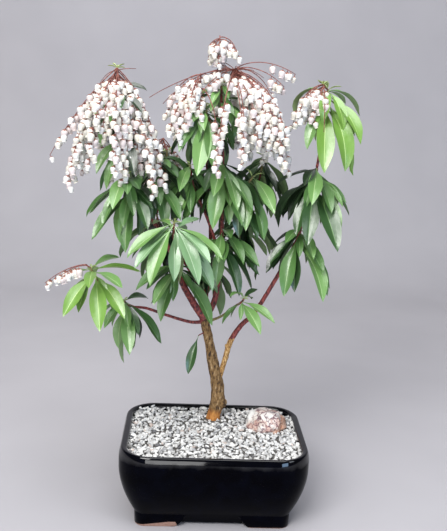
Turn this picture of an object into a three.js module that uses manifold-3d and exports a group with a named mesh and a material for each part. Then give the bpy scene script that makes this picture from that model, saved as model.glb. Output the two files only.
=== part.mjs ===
// A mountain fire pieris in flower, grown as a bonsai in an oblong glazed pot.
// Millimetres, +Z up, the viewer's side at -Y. The plant is laid out from the middle of the pot's
// underside, and the whole group is moved at the end so that the origin is under the middle of its reach.

import * as THREE from 'three';
import { mergeVertices } from 'three/addons/utils/BufferGeometryUtils.js';
import Module from 'manifold-3d';

const wasm = await Module();
wasm.setup();

// Clearance between touching pieces, the shortest edge that is kept where solids are joined, with
// longer ones to try where that leaves two sheets along one edge, and how near counts as one corner
const GAP = 0.3;
const SHORTEST_EDGES = [0.01, 0.02, 0.04, 0.06, 0.08];
const SAME_PLACE = 0.001;

// Pot: 8 by 6 inch at its widest, with a rounded shoulder and a belly that draws in to the feet
const POT_LENGTH = 203;
const POT_WIDTH = 152;
const POT_HEIGHT = 86;
const POT_CORNER = 36.5;
const CORNER_TIGHTENING = 1.35;
const LEAST_CORNER = 9;
const SHOULDER_FOOT = 74;
const SHOULDER_INSET = 2.8;
const BELLY_TOP = 64;
const BELLY_FOOT = 15.5;
const BELLY_INSET = 17.5;
const BELLY_CURVE = 1.9;
const WALL = 6.5;
const LIP_DROP = 1.2;
const LIP_EASE = 4;
const INSIDE_STEPS = 3;
const BASE_UNDERSIDE = 3;
const BASE_INSET = 24;
const FLOOR = 8;
const CORE_INSET = 30;
const CORNER_STEPS = 4;

// Feet: one at each corner, the skirt between them cut back in a low arch
const FOOT_INSET = 18.5;
const FOOT_DEPTH = 13;
const FOOT_LENGTH = 45;
const FOOT_WIDTH = 36;
const ARCH_HEIGHT = 13;
const ARCH_ROUND = 8;
const SKIRT_OVERLAP = 0.6;
const SKIRT_SET_BACK = 0.3;

// Gravel fill and the ornamental stone on it
const GRAVEL_EDGE = 80;
const GRAVEL_MIDDLE = 83;
const GRAVEL_BUMP = 1.3;
const GRAVEL_CELL = 9.5;
const GRAVEL_JITTER = 2.4;
const GRAVEL_SHORE = 38;
const GRAVEL_SLOPE = 6;
const GRAVEL_CLEAR = 1.8;
const STONE_PLACE = [60, 25];
const STONE_SIZE = [23.5, 26, 14];
const STONE_BUMP = 0.13;
const STONE_SUNK = 8;
const STONE_FOOT = 80;

// Trunk: stations of [x, y, z, radius] on its middle line, cut flat at the gravel
const TRUNK_CUT = 82;
const TRUNK = [
  [0, 43, 76, 8.8],
  [1, 43, 86, 7.4],
  [4.5, 43, 103, 7.9],
  [3.5, 43, 124, 7.3],
  [-2, 42, 147, 6.7],
  [-7.5, 41, 172, 5.2],
  [-12, 40.5, 190, 5],
  [-15, 40, 205, 5.3],
];
const KNOB = { place: [9, 41.5, 101], radius: 6.2 };
const TRUNK_SIDES = 10;
const TRUNK_STEPS = 12;
const BOUGH_SIDES = 5;

// Leaves: narrow, pointed, widest past the middle, drooping from whorls on the shoots
const LEAF_WIDTH_SHARE = 0.245;
const LEAF_THICKNESS = 0.75;
const LEAF_TROUGH = 0.11;
const LEAF_ROOT = 0.4;
const LEAF_WIDTHS = [0, 0.54, 0.98, 0];
const SPINE_STEPS = 12;
const SPINE_BEND = 0.8;
const GOLDEN_ANGLE = 137.5;
const TRIES = 7;
const STEM_RADII = [1.5, 1.15];
const STEM_STEPS = 3;
const WHORL_TOP = 1;
const LEAST_HEIGHT = 0.04;
const LEAVES_SHARE = 7;
const RISE_BY_AGE = 40;
const DROOP_RANGE = [0.8, 1.15];
const LEAF_LENGTH_RANGE = [0.86, 1.08];
const SHORTER_BY_TRY = 0.06;
const LEAF_AZIMUTH_THROW = [16, 30];
const LEAF_RISE_THROW = [18, 6];
const LEAF_ROLL_THROW = 36;
const SHOWN_DROOP = 34;
const SHOWN_ROLL_THROW = 24;
const SHOWN_SIDE = 60;
const LIGHT_SLOPE = 52;
const LIGHT_DIVIDE = 50;
const LIGHT_TURN = 0.6;
const MOST_ROLL = 48;

// Blossom: racemes that arch out from the top of a stalk and hang, with urn-shaped bells along them
const STALK_RADII = [1.15, 0.85];
const RACEME_TOP = 0.97;
const RACEME_DEPTH = 0.6;
const RACEME_STRIDE = 3;
const RACEME_AZIMUTH_THROW = [12, 16];
const RACEME_RISE_THROW = 30;
const SHORT_RACEME = 0.62;
const RACEME_LENGTH_RANGE = [0.82, 1];
const RACHIS_RADIUS = 0.85;
const RACHIS_BEND = 0.55;
const RACHISES_SHARE = 8;
const BELLS_SHARE = 1.2;
const BELL_HANG = 10;
const BELL_ROOT = 0.3;
const BELL_RADIUS = 4.2;
const BELL_BELLY = 0.62;
const BELL_SPACING = 12.5;
const RACHIS_IN_FLOWER = 0.84;
const LAST_BELL = 0.98;
const RACHIS_PIECES = 3;
const BELL_SPLAY = 52;
const BELL_SPLAY_LEAST = 0.5;
const BELL_OUTWARD_RANGE = [-0.07, 0.28];

// The plant above the trunk, in the order in which it grows. Each entry springs `from` the tip of an
// earlier one, or from its side where `at` says how far along it.
// A bough has stations of [x, y, z, radius] after its foot, and `foot` is its radius there.
// A mass of leaves has a stem that arcs up to `tip`. Its `leaves` of about `length` stand in whorls
// `leafy` millimetres deep at the tip, or at the fractions of the stem in `whorls`. The first leaf is
// at `turn` degrees, `rise` is the slope of a leaf's foot and `droop` how far it bends down to its tip.
// `shown` gives the tips of the leaves that stand out, from the top of the whorl down, and they come first.
// Blossom has `racemes` of up to `reach` that fan out between the two azimuths in `fan`, starting at
// `rise` and hanging to `fall`, and `strays` of [azimuth, rise, fall, length] that stand apart.
const GROWTH = {
  bough_right: {
    from: 'trunk', at: 0.43, foot: 3,
    stations: [
      [10.5, 41.5, 152, 3.1], [16, 40, 176, 3.3], [27, 38.5, 196, 2.7], [43, 36, 215, 2.5],
      [69, 30, 267, 2.2], [80, 25, 294, 2],
    ],
  },
  leaves_right_low: {
    from: 'bough_right', tip: [85, 22, 313],
    leaves: 7, length: 54, turn: 285, leafy: 18, rise: -36, droop: 36,
    shown: [
      [63, -12, 302], [49, 15, 263], [104, -19, 272], [67, -3, 242], [110, -16, 247], [124, 34, 243],
      [110, -31, 241],
    ],
  },
  bough_right_middle: {
    from: 'leaves_right_low', foot: 1.7,
    stations: [[91, 19, 340, 1.6], [95, 17, 358, 1.5]],
  },
  leaves_right_middle: {
    from: 'bough_right_middle', tip: [97, 16, 380],
    leaves: 7, length: 60, turn: 262, leafy: 20, rise: -38, droop: 36,
    shown: [
      [77, -20, 363], [60, 49, 357], [110, -20, 336], [69, 12, 322], [139, 29, 327], [122, -15, 310],
      [86, -23, 302], [54, 11, 308], [114, -36, 299],
    ],
  },
  bough_right_upper: {
    from: 'leaves_right_middle', foot: 1.5,
    stations: [[100, 12, 415, 1.5], [101, 9, 438, 1.4]],
  },
  leaves_right_top: {
    from: 'bough_right_upper', tip: [101, 8, 460],
    leaves: 6, length: 62, turn: 40, leafy: 20, rise: -10, droop: 74,
    shown: [
      [126, 34, 446], [129, -14, 415], [95, -19, 419], [65, 29, 417], [118, -25, 401], [94, -32, 378],
      [136, 19, 372], [117, -34, 372],
    ],
  },
  bough_centre: {
    from: 'trunk', at: 0.98, foot: 3.6,
    stations: [[-5, 42, 220, 3.3], [-1, 38, 249, 3], [0, 32, 286, 2.6]],
  },
  leaves_centre_low: {
    from: 'bough_centre', tip: [0, 28, 308],
    leaves: 8, length: 56, turn: 300, leafy: 18, rise: -34, droop: 38,
    shown: [
      [8, -18, 306], [42, 1, 273], [-27, -17, 279], [19, 8, 237], [37, 36, 238],
    ],
  },
  bough_centre_middle: {
    from: 'leaves_centre_low', foot: 2,
    stations: [[-1, 22, 338, 1.9], [-2, 17, 360, 1.8]],
  },
  leaves_centre_right: {
    from: 'bough_centre_middle', at: 0.5, tip: [30, 22, 366],
    leaves: 11, length: 58, turn: 300, leafy: 18, rise: -32, droop: 42,
  },
  leaves_centre_middle: {
    from: 'bough_centre_middle', tip: [-3, 14, 384],
    leaves: 8, length: 60, turn: 258, leafy: 20, rise: -34, droop: 38,
    shown: [
      [-23, -16, 352], [13, -15, 334], [-9, -11, 313], [39, 2, 323], [-42, 4, 314], [17, -13, 318],
      [35, -2, 301],
    ],
  },
  bough_centre_upper: {
    from: 'leaves_centre_middle', foot: 1.6,
    stations: [[-5, 11, 412, 1.6], [-7, 9, 434, 1.5]],
  },
  leaves_centre_high: {
    from: 'bough_centre_upper', at: 0.5, tip: [-28, 0, 436],
    leaves: 6, length: 50, turn: 200, leafy: 16, rise: -20, droop: 56,
    shown: [
      [-25, -27, 414], [-47, -29, 392], [-59, 25, 384], [-11, -41, 379], [-29, -47, 371], [4, 21, 388],
    ],
  },
  leaves_centre_top: {
    from: 'bough_centre_upper', tip: [-8, 8, 461],
    leaves: 6, length: 42, turn: 20, leafy: 20, rise: -14, droop: 60,
    shown: [
      [0, -16, 446], [-19, -15, 433], [31, -13, 440], [13, -27, 420],
    ],
  },
  bough_left: {
    from: 'trunk', at: 0.97, foot: 4.2,
    stations: [[-26, 38, 218, 3.9], [-38, 32, 239, 3.5], [-46, 22, 258, 3]],
  },
  bough_front_left: {
    from: 'bough_left', at: 0.85, foot: 2,
    stations: [[-49, -8, 284, 1.9], [-51, -26, 304, 1.7]],
  },
  leaves_front_left: {
    from: 'bough_front_left', tip: [-51, -34, 323],
    leaves: 5, length: 56, turn: 80, leafy: 10, rise: -30, droop: 44,
    shown: [
      [-95, -54, 288], [-73, -63, 263], [-25, -67, 267], [0, -54, 291], [-13, -68, 290],
      [-86, -63, 280], [-76, 4, 314], [-11, -49, 256], [-23, -1, 322], [-44, -20, 255],
    ],
  },
  leaves_left_inner: {
    from: 'bough_left', tip: [-48, 14, 271],
    leaves: 7, length: 52, turn: 100, leafy: 14, rise: -30, droop: 44,
    shown: [
      [-89, -18, 247], [-2, -21, 245], [-68, -20, 232], [-6, -4, 208], [-61, -5, 206],
    ],
  },
  bough_left_middle: {
    from: 'leaves_left_inner', foot: 2.4,
    stations: [[-66, 6, 305, 2.2], [-90, 0, 342, 1.9]],
  },
  leaves_left_side: {
    from: 'bough_left_middle', at: 0.72, tip: [-72, 18, 380],
    leaves: 9, length: 54, turn: 290, leafy: 18, rise: -30, droop: 44,
    shown: [
      [-57, -16, 375], [-33, 8, 346], [-68, -13, 336], [-45, -11, 321],
    ],
  },
  leaves_left_low: {
    from: 'bough_left_middle', tip: [-102, -5, 366],
    leaves: 8, length: 58, turn: 262, leafy: 20, rise: -34, droop: 40,
    shown: [
      [-97, -44, 350], [-83, -46, 356], [-125, -27, 315], [-141, 12, 321], [-77, -36, 314],
      [-102, -20, 287], [-135, -28, 301],
    ],
  },
  leaves_left_top: {
    from: 'leaves_left_low', tip: [-114, 6, 456], whorls: [0.5, 1],
    leaves: 18, length: 52, turn: 300, leafy: 22, rise: -28, droop: 50,
  },
  bough_inner_left: {
    from: 'bough_centre', at: 0.9, foot: 1.8,
    stations: [[-16, 26, 318, 1.7], [-32, 25, 350, 1.5]],
  },
  leaves_inner_left: {
    from: 'bough_inner_left', tip: [-37, 22, 376],
    leaves: 11, length: 52, turn: 250, leafy: 18, rise: -30, droop: 46,
  },
  bough_low_left: {
    from: 'trunk', at: 0.94, foot: 2,
    stations: [[-30, 36, 199, 1.8], [-56, 28, 208, 1.6], [-78, 18, 218, 1.5], [-92, 12, 221, 1.4]],
  },
  leaves_low_left: {
    from: 'bough_low_left', tip: [-103, 4, 230],
    leaves: 4, length: 50, turn: 160, leafy: 8, rise: -30, droop: 46,
    shown: [
      [-77, 43, 222], [-60, -7, 187], [-95, -32, 181], [-92, 20, 169], [-104, 17, 154],
    ],
  },
  leaves_low_left_tip: {
    from: 'leaves_low_left', tip: [-136, -16, 269],
    leaves: 3, length: 46, turn: 100, leafy: 12, rise: -24, droop: 50,
    shown: [
      [-108, 25, 272], [-86, 8, 262], [-132, -63, 259], [-99, -48, 257], [-160, 9, 227],
      [-159, -55, 227], [-121, -64, 215], [-97, -49, 225],
    ],
  },
  bough_low_right: {
    from: 'trunk', at: 0.93, foot: 1.6,
    stations: [[4, 32, 208, 1.4], [20, 20, 225, 1.3]],
  },
  leaves_low_right: {
    from: 'bough_low_right', tip: [27, 14, 234],
    leaves: 2, length: 34, turn: 60, leafy: 6, rise: -10, droop: 46,
    shown: [
      [9, -7, 241], [43, 40, 239], [60, -13, 215], [44, -26, 206],
    ],
  },
  leaf_on_trunk: {
    from: 'trunk', at: 0.83, tip: [-21, 33, 184],
    leaves: 0, length: 42, turn: 215, leafy: 2, rise: -34, droop: 66,
    shown: [
      [-29, 18, 143],
    ],
  },
  bough_back: {
    from: 'trunk', at: 0.96, foot: 3.2,
    stations: [[-14, 54, 222, 2.9], [-11, 62, 250, 2.5]],
  },
  leaves_back_low: {
    from: 'bough_back', tip: [-10, 68, 270],
    leaves: 12, length: 58, turn: 90, leafy: 18, rise: -32, droop: 44,
  },
  bough_back_upper: {
    from: 'leaves_back_low', foot: 2,
    stations: [[-12, 70, 310, 1.9], [-16, 69, 352, 1.7]],
  },
  leaves_back_high: {
    from: 'bough_back_upper', tip: [-22, 66, 438], whorls: [0.3, 1],
    leaves: 22, length: 58, turn: 60, leafy: 20, rise: -28, droop: 52,
  },
  bough_back_right: {
    from: 'bough_back', at: 0.8, foot: 2.1,
    stations: [[8, 68, 270, 2], [24, 70, 296, 1.7]],
  },
  leaves_back_right: {
    from: 'bough_back_right', tip: [32, 67, 319],
    leaves: 12, length: 60, turn: 40, leafy: 20, rise: -32, droop: 44,
  },
  leaves_back_right_high: {
    from: 'leaves_back_right', tip: [44, 62, 386],
    leaves: 12, length: 58, turn: 100, leafy: 20, rise: -30, droop: 48,
  },
  bough_back_left: {
    from: 'bough_back', at: 0.5, foot: 2.1,
    stations: [[-36, 66, 256, 2], [-62, 70, 290, 1.7]],
  },
  leaves_back_left: {
    from: 'bough_back_left', tip: [-73, 72, 314],
    leaves: 12, length: 60, turn: 120, leafy: 20, rise: -32, droop: 44,
  },
  leaves_back_left_high: {
    from: 'leaves_back_left', tip: [-63, 70, 386],
    leaves: 12, length: 58, turn: 80, leafy: 20, rise: -30, droop: 48,
  },
  blossom_left: {
    from: 'leaves_left_top', tip: [-114, 4, 472],
    racemes: 13, reach: 132, fan: [-20, 340], rise: -34, fall: -84,
    strays: [[190, -38, -62, 112], [186, -50, -74, 146]],
  },
  blossom_low_left: {
    from: 'leaves_low_left_tip', tip: [-140, -18, 273],
    racemes: 2, reach: 56, fan: [178, 198], rise: 8, fall: -42, strays: [],
  },
  blossom_centre: {
    from: 'leaves_centre_top', tip: [5, 6, 476],
    racemes: 10, reach: 122, fan: [-115, 75], rise: -10, fall: -84,
    strays: [
      [2, 50, -30, 66], [184, 14, -50, 84], [204, 2, -74, 78], [166, 4, -78, 74], [112, -8, -84, 90],
    ],
  },
  blossom_top: {
    from: 'leaves_centre_top', at: 0.7, tip: [-12, 8, 508],
    racemes: 5, reach: 32, fan: [-60, 300], rise: 16, fall: -78, strays: [],
  },
  blossom_centre_left: {
    from: 'leaves_centre_high', tip: [-30, 0, 470],
    racemes: 7, reach: 64, fan: [110, 300], rise: 0, fall: -82, strays: [],
  },
  blossom_right: {
    from: 'leaves_right_top', tip: [95, 2, 465],
    racemes: 6, reach: 58, fan: [130, 320], rise: -6, fall: -84, strays: [],
  },
  blossom_back: {
    from: 'leaves_back_high', tip: [-26, 62, 456],
    racemes: 6, reach: 74, fan: [10, 200], rise: -6, fall: -84, strays: [],
  },
  blossom_back_left: {
    from: 'leaves_back_left_high', tip: [-68, 76, 400],
    racemes: 6, reach: 74, fan: [30, 230], rise: -20, fall: -82, strays: [],
  },
};

// Materials
const MATERIALS = {
  glaze: new THREE.MeshStandardMaterial({ color: 0x0b0d1c, roughness: 0.12, metalness: 0 }),
  gravel: new THREE.MeshStandardMaterial({ color: 0xc9c9c6, roughness: 0.9, metalness: 0 }),
  stone: new THREE.MeshStandardMaterial({ color: 0xd9b9ae, roughness: 0.65, metalness: 0 }),
  bark: new THREE.MeshStandardMaterial({ color: 0x7a5a36, roughness: 0.85, metalness: 0 }),
  young_bark: new THREE.MeshStandardMaterial({ color: 0x6e2f26, roughness: 0.7, metalness: 0 }),
  leaf: new THREE.MeshStandardMaterial({ color: 0x3f7a35, roughness: 0.45, metalness: 0 }),
  bright_leaf: new THREE.MeshStandardMaterial({ color: 0x79a83c, roughness: 0.4, metalness: 0 }),
  pale_leaf: new THREE.MeshStandardMaterial({ color: 0x6d9a68, roughness: 0.45, metalness: 0 }),
  blossom: new THREE.MeshStandardMaterial({ color: 0xf1ece6, roughness: 0.55, metalness: 0 }),
};
const BRIGHT_MASSES = ['leaves_right_top', 'leaves_low_left_tip'];
const PALE_MASSES = ['leaves_front_left'];

const UP = new THREE.Vector3(0, 0, 1);
const radians = THREE.MathUtils.degToRad;

// A repeatable number from 0 to 1 for the three whole numbers given.
function dice(first, second, third) {
  let mixed = Math.imul(first + 1, 73856093);
  mixed ^= Math.imul(second + 1, 19349663);
  mixed ^= Math.imul(third + 1, 83492791);
  mixed = Math.imul(mixed ^ (mixed >>> 13), 1274126177);
  mixed ^= mixed >>> 16;
  return (mixed >>> 0) / 4294967296;
}

// The sides of the dice that are kept for a leaf's length, a raceme's course and a bell's swing
const LENGTH_SIDE = 90;
const RACEME_SIDE = 50;
const SWING_SIDE = 40;

// The value a throw from 0 to 1 picks in a range.
function within([least, most], thrown) {
  return THREE.MathUtils.lerp(least, most, thrown);
}

// How wide a throw is at each further try.
function widening([first, more], attempt) {
  return first + more * attempt;
}

// A closed geometry as a solid, its shared vertices merged.
function solidOf(geometry) {
  geometry.deleteAttribute('normal');
  geometry.deleteAttribute('uv');
  const merged = mergeVertices(geometry, 1e-4);
  return new wasm.Manifold(new wasm.Mesh({
    numProp: 3,
    vertProperties: new Float32Array(merged.attributes.position.array),
    triVerts: new Uint32Array(merged.index.array),
  }));
}

// True where no two sheets of the surface meet along one edge.
function hasSingleEdges({ vertProperties, triVerts }) {
  const corners = new Map();
  const cornerAt = (vertex) => {
    const place = [0, 1, 2].map((axis) => Math.round(vertProperties[vertex * 3 + axis] / SAME_PLACE));
    const key = place.join(' ');
    if (!corners.has(key)) corners.set(key, corners.size);
    return corners.get(key);
  };
  const seen = new Set();
  for (let side = 0; side < triVerts.length; side += 1) {
    const next = side % 3 === 2 ? side - 2 : side + 1;
    const edge = [cornerAt(triVerts[side]), cornerAt(triVerts[next])];
    if (edge[0] !== edge[1] && seen.has(edge.join(' '))) return false;
    seen.add(edge.join(' '));
  }
  return true;
}

// A named mesh of a solid, its flat faces made whole and its shortest edges closed up.
function meshOf(name, solid, material) {
  const whole = solid.asOriginal();
  const choices = SHORTEST_EDGES.map((edge) => whole.simplify(edge).getMesh());
  const { vertProperties, triVerts } = choices.find(hasSingleEdges) ?? choices[0];
  const geometry = new THREE.BufferGeometry();
  geometry.setAttribute('position', new THREE.BufferAttribute(vertProperties, 3));
  geometry.setIndex(new THREE.BufferAttribute(triVerts, 1));
  geometry.computeVertexNormals();
  const mesh = new THREE.Mesh(geometry, material);
  mesh.name = name;
  return mesh;
}

// The largest body of a solid: a scrap that fusing or cutting leaves loose is dropped.
function mainBody(solid) {
  const bodies = solid.decompose();
  bodies.sort((a, b) => b.volume() - a.volume());
  return bodies[0];
}

// A ball whose rings become cross-sections and whose poles become the two ends.
// `place` gives the point for a ring, from 0 at the first end, and a turn round it.
function wrapBall(sides, rings, place) {
  const ball = new THREE.SphereGeometry(1, sides, rings + 1);
  const position = ball.attributes.position;
  const point = new THREE.Vector3();
  for (let index = 0; index < position.count; index += 1) {
    point.fromBufferAttribute(position, index);
    const ring = Math.round((Math.acos(THREE.MathUtils.clamp(point.y, -1, 1)) / Math.PI) * (rings + 1));
    const placed = place(ring, Math.atan2(point.z, point.x));
    position.setXYZ(index, placed.x, placed.y, placed.z);
  }
  return solidOf(ball);
}

// A round limb along a curve, `radiusAt` giving its radius. `grow` makes it fatter and longer all round.
function sweep(curve, radiusAt, sides, steps, grow = 0) {
  const frames = curve.computeFrenetFrames(steps, false);
  const tube = new THREE.CylinderGeometry(1, 1, 1, sides, steps);
  const position = tube.attributes.position;
  for (let index = 0; index < position.count; index += 1) {
    const step = Math.round((position.getY(index) + 0.5) * steps);
    const along = step / steps;
    const radius = radiusAt(along) + grow;
    const point = curve.getPoint(along);
    point.addScaledVector(frames.normals[step], position.getX(index) * radius);
    point.addScaledVector(frames.binormals[step], -position.getZ(index) * radius);
    if (step === 0) point.addScaledVector(frames.tangents[0], -grow);
    if (step === steps) point.addScaledVector(frames.tangents[steps], grow);
    position.setXYZ(index, point.x, point.y, point.z);
  }
  return solidOf(tube);
}

function boxesMeet(a, b) {
  return [0, 1, 2].every((axis) => a.min[axis] <= b.max[axis] && b.min[axis] <= a.max[axis]);
}

// Everything already in place: which node it belongs to, its solid and its box
const placed = [];

function remember(node, solid) {
  placed.push({ node, solid, box: solid.boundingBox() });
}

function sharedVolume(a, b) {
  const shared = a.intersect(b);
  const volume = shared.volume();
  shared.delete();
  return volume;
}

// True where a piece, made a gap larger all round, meets nothing of another node, and shares no more
// than a few cubic millimetres with a piece of its own.
function isClear(node, grown, ownShare) {
  const box = grown.boundingBox();
  for (const other of placed) {
    if (!boxesMeet(box, other.box)) continue;
    const allowed = other.node === node ? ownShare : 0;
    if (sharedVolume(grown, other.solid) > allowed) return false;
  }
  return true;
}

// Pot
const CORNER_COUNT = 4;
const OUTLINE_POINTS = CORNER_COUNT * (CORNER_STEPS + 1);
const HALF_WIDTH = POT_WIDTH / 2;

// A point on the rounded oblong that lies `inset` inside the pot's widest outline.
function oblongPoint(index, inset) {
  const corner = Math.floor(index / (CORNER_STEPS + 1));
  const share = (index % (CORNER_STEPS + 1)) / CORNER_STEPS;
  const angle = (corner + share) * (Math.PI / 2);
  const round = Math.max(LEAST_CORNER, POT_CORNER - inset * CORNER_TIGHTENING);
  const sideX = corner === 0 || corner === 3 ? 1 : -1;
  const sideY = corner < 2 ? 1 : -1;
  const x = sideX * (POT_LENGTH / 2 - inset - round) + round * Math.cos(angle);
  const y = sideY * (POT_WIDTH / 2 - inset - round) + round * Math.sin(angle);
  return [x, y];
}

// A turned profile of [inset, height] points laid round the pot's oblong outline. Past CORE_INSET the
// outline shrinks evenly to the middle, which an inset of half the width stands for.
function oblongSolid(profile) {
  const lathe = new THREE.LatheGeometry(
    profile.map(([inset, height]) => new THREE.Vector2(HALF_WIDTH - inset, height)),
    OUTLINE_POINTS,
  );
  const position = lathe.attributes.position;
  for (let vertex = 0; vertex < position.count; vertex += 1) {
    const around = Math.atan2(position.getX(vertex), position.getZ(vertex)) / (2 * Math.PI);
    const index = Math.round((around + 1) * OUTLINE_POINTS) % OUTLINE_POINTS;
    const inset = HALF_WIDTH - Math.hypot(position.getX(vertex), position.getZ(vertex));
    const [x, y] = oblongPoint(index, Math.min(inset, CORE_INSET));
    const shrink = Math.min(1, (HALF_WIDTH - inset) / (HALF_WIDTH - CORE_INSET));
    const height = position.getY(vertex);
    position.setXYZ(vertex, x * shrink, y * shrink, height);
  }
  return solidOf(lathe);
}

function wallInset(height) {
  if (height > SHOULDER_FOOT) {
    return SHOULDER_INSET * ((height - SHOULDER_FOOT) / (POT_HEIGHT - SHOULDER_FOOT)) ** 2;
  }
  if (height > BELLY_TOP) return 0;
  const drop = (BELLY_TOP - Math.max(height, BELLY_FOOT)) / (BELLY_TOP - BELLY_FOOT);
  return BELLY_INSET * drop ** BELLY_CURVE;
}

// Heights from one level to another in equal steps, both ends included.
function levels(from, to, count) {
  return Array.from({ length: count + 1 }, (unused, step) => from + ((to - from) * step) / count);
}

// The inside of the wall, from the lip down to the floor, as [inset, height] points
const floorTop = BASE_UNDERSIDE + FLOOR;
const innerLip = POT_HEIGHT - LIP_DROP;
const insideWall = levels(innerLip - LIP_EASE, floorTop, INSIDE_STEPS).map(
  (height) => [wallInset(height) + WALL, height],
);

function archCutter(span, reach) {
  const half = span / 2;
  const arch = new THREE.Shape();
  arch.moveTo(-half - ARCH_ROUND, -1);
  arch.quadraticCurveTo(-half + ARCH_ROUND / 2, 0, -half + ARCH_ROUND, ARCH_HEIGHT - 2);
  arch.quadraticCurveTo(-half + ARCH_ROUND * 1.3, ARCH_HEIGHT, -half + ARCH_ROUND * 2, ARCH_HEIGHT);
  arch.lineTo(half - ARCH_ROUND * 2, ARCH_HEIGHT);
  arch.quadraticCurveTo(half - ARCH_ROUND * 1.3, ARCH_HEIGHT, half - ARCH_ROUND, ARCH_HEIGHT - 2);
  arch.quadraticCurveTo(half - ARCH_ROUND / 2, 0, half + ARCH_ROUND, -1);
  const cutter = new THREE.ExtrudeGeometry(arch, { depth: reach, bevelEnabled: false, curveSegments: 4 });
  cutter.translate(0, 0, -reach / 2);
  cutter.rotateX(Math.PI / 2);
  return cutter;
}

function makePot() {
  const outside = [...levels(BELLY_FOOT, BELLY_TOP, 4), SHOULDER_FOOT, POT_HEIGHT - 1.5];
  const body = oblongSolid([
    [HALF_WIDTH, BASE_UNDERSIDE],
    [BASE_INSET, BASE_UNDERSIDE],
    ...outside.map((height) => [wallInset(height), height]),
    [SHOULDER_INSET + WALL / 3, POT_HEIGHT],
    [SHOULDER_INSET + WALL, innerLip],
    ...insideWall,
    [HALF_WIDTH, floorTop],
  ]);
  const skirtTop = BELLY_FOOT + SKIRT_OVERLAP;
  const footTop = floorTop - SKIRT_OVERLAP;
  const skirt = oblongSolid([
    [FOOT_INSET, 0],
    [BELLY_INSET + SKIRT_SET_BACK, skirtTop],
    [BELLY_INSET + WALL / 2, skirtTop],
    [BASE_INSET - 1, footTop],
    [FOOT_INSET + FOOT_DEPTH, footTop],
    [FOOT_INSET + FOOT_DEPTH, 0],
    [FOOT_INSET, 0],
  ]);
  const frontArch = POT_LENGTH - 2 * (FOOT_INSET + FOOT_LENGTH);
  const sideArch = POT_WIDTH - 2 * (FOOT_INSET + FOOT_WIDTH);
  const alongY = solidOf(archCutter(frontArch, POT_WIDTH * 2));
  const alongX = solidOf(archCutter(sideArch, POT_LENGTH * 2).rotateZ(Math.PI / 2));
  return body.add(skirt.subtract(alongY).subtract(alongX));
}

// The bumpy top of the gravel: a block whose upper side is a grid of stones that stand high and low.
function bumpyBlock() {
  const cellsX = Math.round(POT_LENGTH / GRAVEL_CELL);
  const cellsY = Math.round(POT_WIDTH / GRAVEL_CELL);
  const block = new THREE.BoxGeometry(POT_LENGTH, POT_WIDTH, GRAVEL_EDGE * 2, cellsX, cellsY, 1);
  const position = block.attributes.position;
  for (let index = 0; index < position.count; index += 1) {
    const [x, y, z] = [position.getX(index), position.getY(index), position.getZ(index)];
    if (z < 0) continue;
    const column = Math.round((x / POT_LENGTH + 0.5) * cellsX);
    const row = Math.round((y / POT_WIDTH + 0.5) * cellsY);
    const throws = [0, 1, 2].map((side) => dice(column, row, side) - 0.5);
    const fromWall = Math.min(HALF_WIDTH - Math.abs(y), POT_LENGTH / 2 - Math.abs(x));
    const inward = Math.min(1, fromWall / GRAVEL_SHORE);
    const height = THREE.MathUtils.lerp(GRAVEL_EDGE, GRAVEL_MIDDLE, inward) + throws[2] * 2 * GRAVEL_BUMP;
    position.setXYZ(index, x + throws[0] * 2 * GRAVEL_JITTER, y + throws[1] * 2 * GRAVEL_JITTER, height);
  }
  return solidOf(block);
}

function makeGravel(cutters) {
  const wall = insideWall.slice(1).reverse().map(([inset, height]) => [inset + GAP, height]);
  wall[0][1] += GAP;
  const [lipInset, lipHeight] = insideWall[0];
  const [nextInset, nextHeight] = insideWall[1];
  const share = (GRAVEL_EDGE - nextHeight) / (lipHeight - nextHeight);
  const edgeInset = THREE.MathUtils.lerp(nextInset, lipInset, share) + GAP;
  const heap = oblongSolid([
    [HALF_WIDTH, floorTop + GAP],
    ...wall,
    [edgeInset, GRAVEL_EDGE],
    [edgeInset + GRAVEL_SLOPE, GRAVEL_MIDDLE + GRAVEL_CLEAR],
    [HALF_WIDTH, GRAVEL_MIDDLE + GRAVEL_CLEAR],
  ]);
  return cutters.reduce((fill, cutter) => fill.subtract(cutter), heap.intersect(bumpyBlock()));
}

// The ornamental stone: a lumpy block on a flat foot, in the gravel. `grow` makes its pocket.
function makeStone(grow = 0) {
  const lump = new THREE.IcosahedronGeometry(1, 1);
  const position = lump.attributes.position;
  for (let index = 0; index < position.count; index += 1) {
    const [x, y, z] = [position.getX(index), position.getY(index), position.getZ(index)];
    const cell = [x, y, z].map((value) => Math.round(value * 10) + 20);
    const bump = 1 + (dice(cell[0], cell[1], cell[2]) - 0.5) * 2 * STONE_BUMP;
    const foot = STONE_FOOT - grow;
    const middle = STONE_FOOT - STONE_SUNK + STONE_SIZE[2];
    const height = Math.max(foot, middle + z * (STONE_SIZE[2] * bump + grow));
    position.setXYZ(
      index,
      STONE_PLACE[0] + x * (STONE_SIZE[0] * bump + grow),
      STONE_PLACE[1] + y * (STONE_SIZE[1] * bump + grow),
      height,
    );
  }
  return solidOf(lump);
}

// Limbs and stems: the middle line, the solid, and the pocket a gap wider that is cut from what meets it
const limbs = {};

function addLimb(name, curve, radiusAt, sides, steps) {
  limbs[name] = {
    curve,
    solid: sweep(curve, radiusAt, sides, steps),
    pocket: sweep(curve, radiusAt, sides, steps, GAP),
  };
  limbs[name].solid = clearOfLimbs(name, limbs[name].solid);
}

// Cuts a new limb or stem clear of the limbs that are already there.
function clearOfLimbs(name, solid) {
  let cut = solid;
  for (const [other, limb] of Object.entries(limbs)) {
    if (other === name) continue;
    if (boxesMeet(cut.boundingBox(), limb.pocket.boundingBox())) cut = cut.subtract(limb.pocket);
  }
  return mainBody(cut);
}

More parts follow.
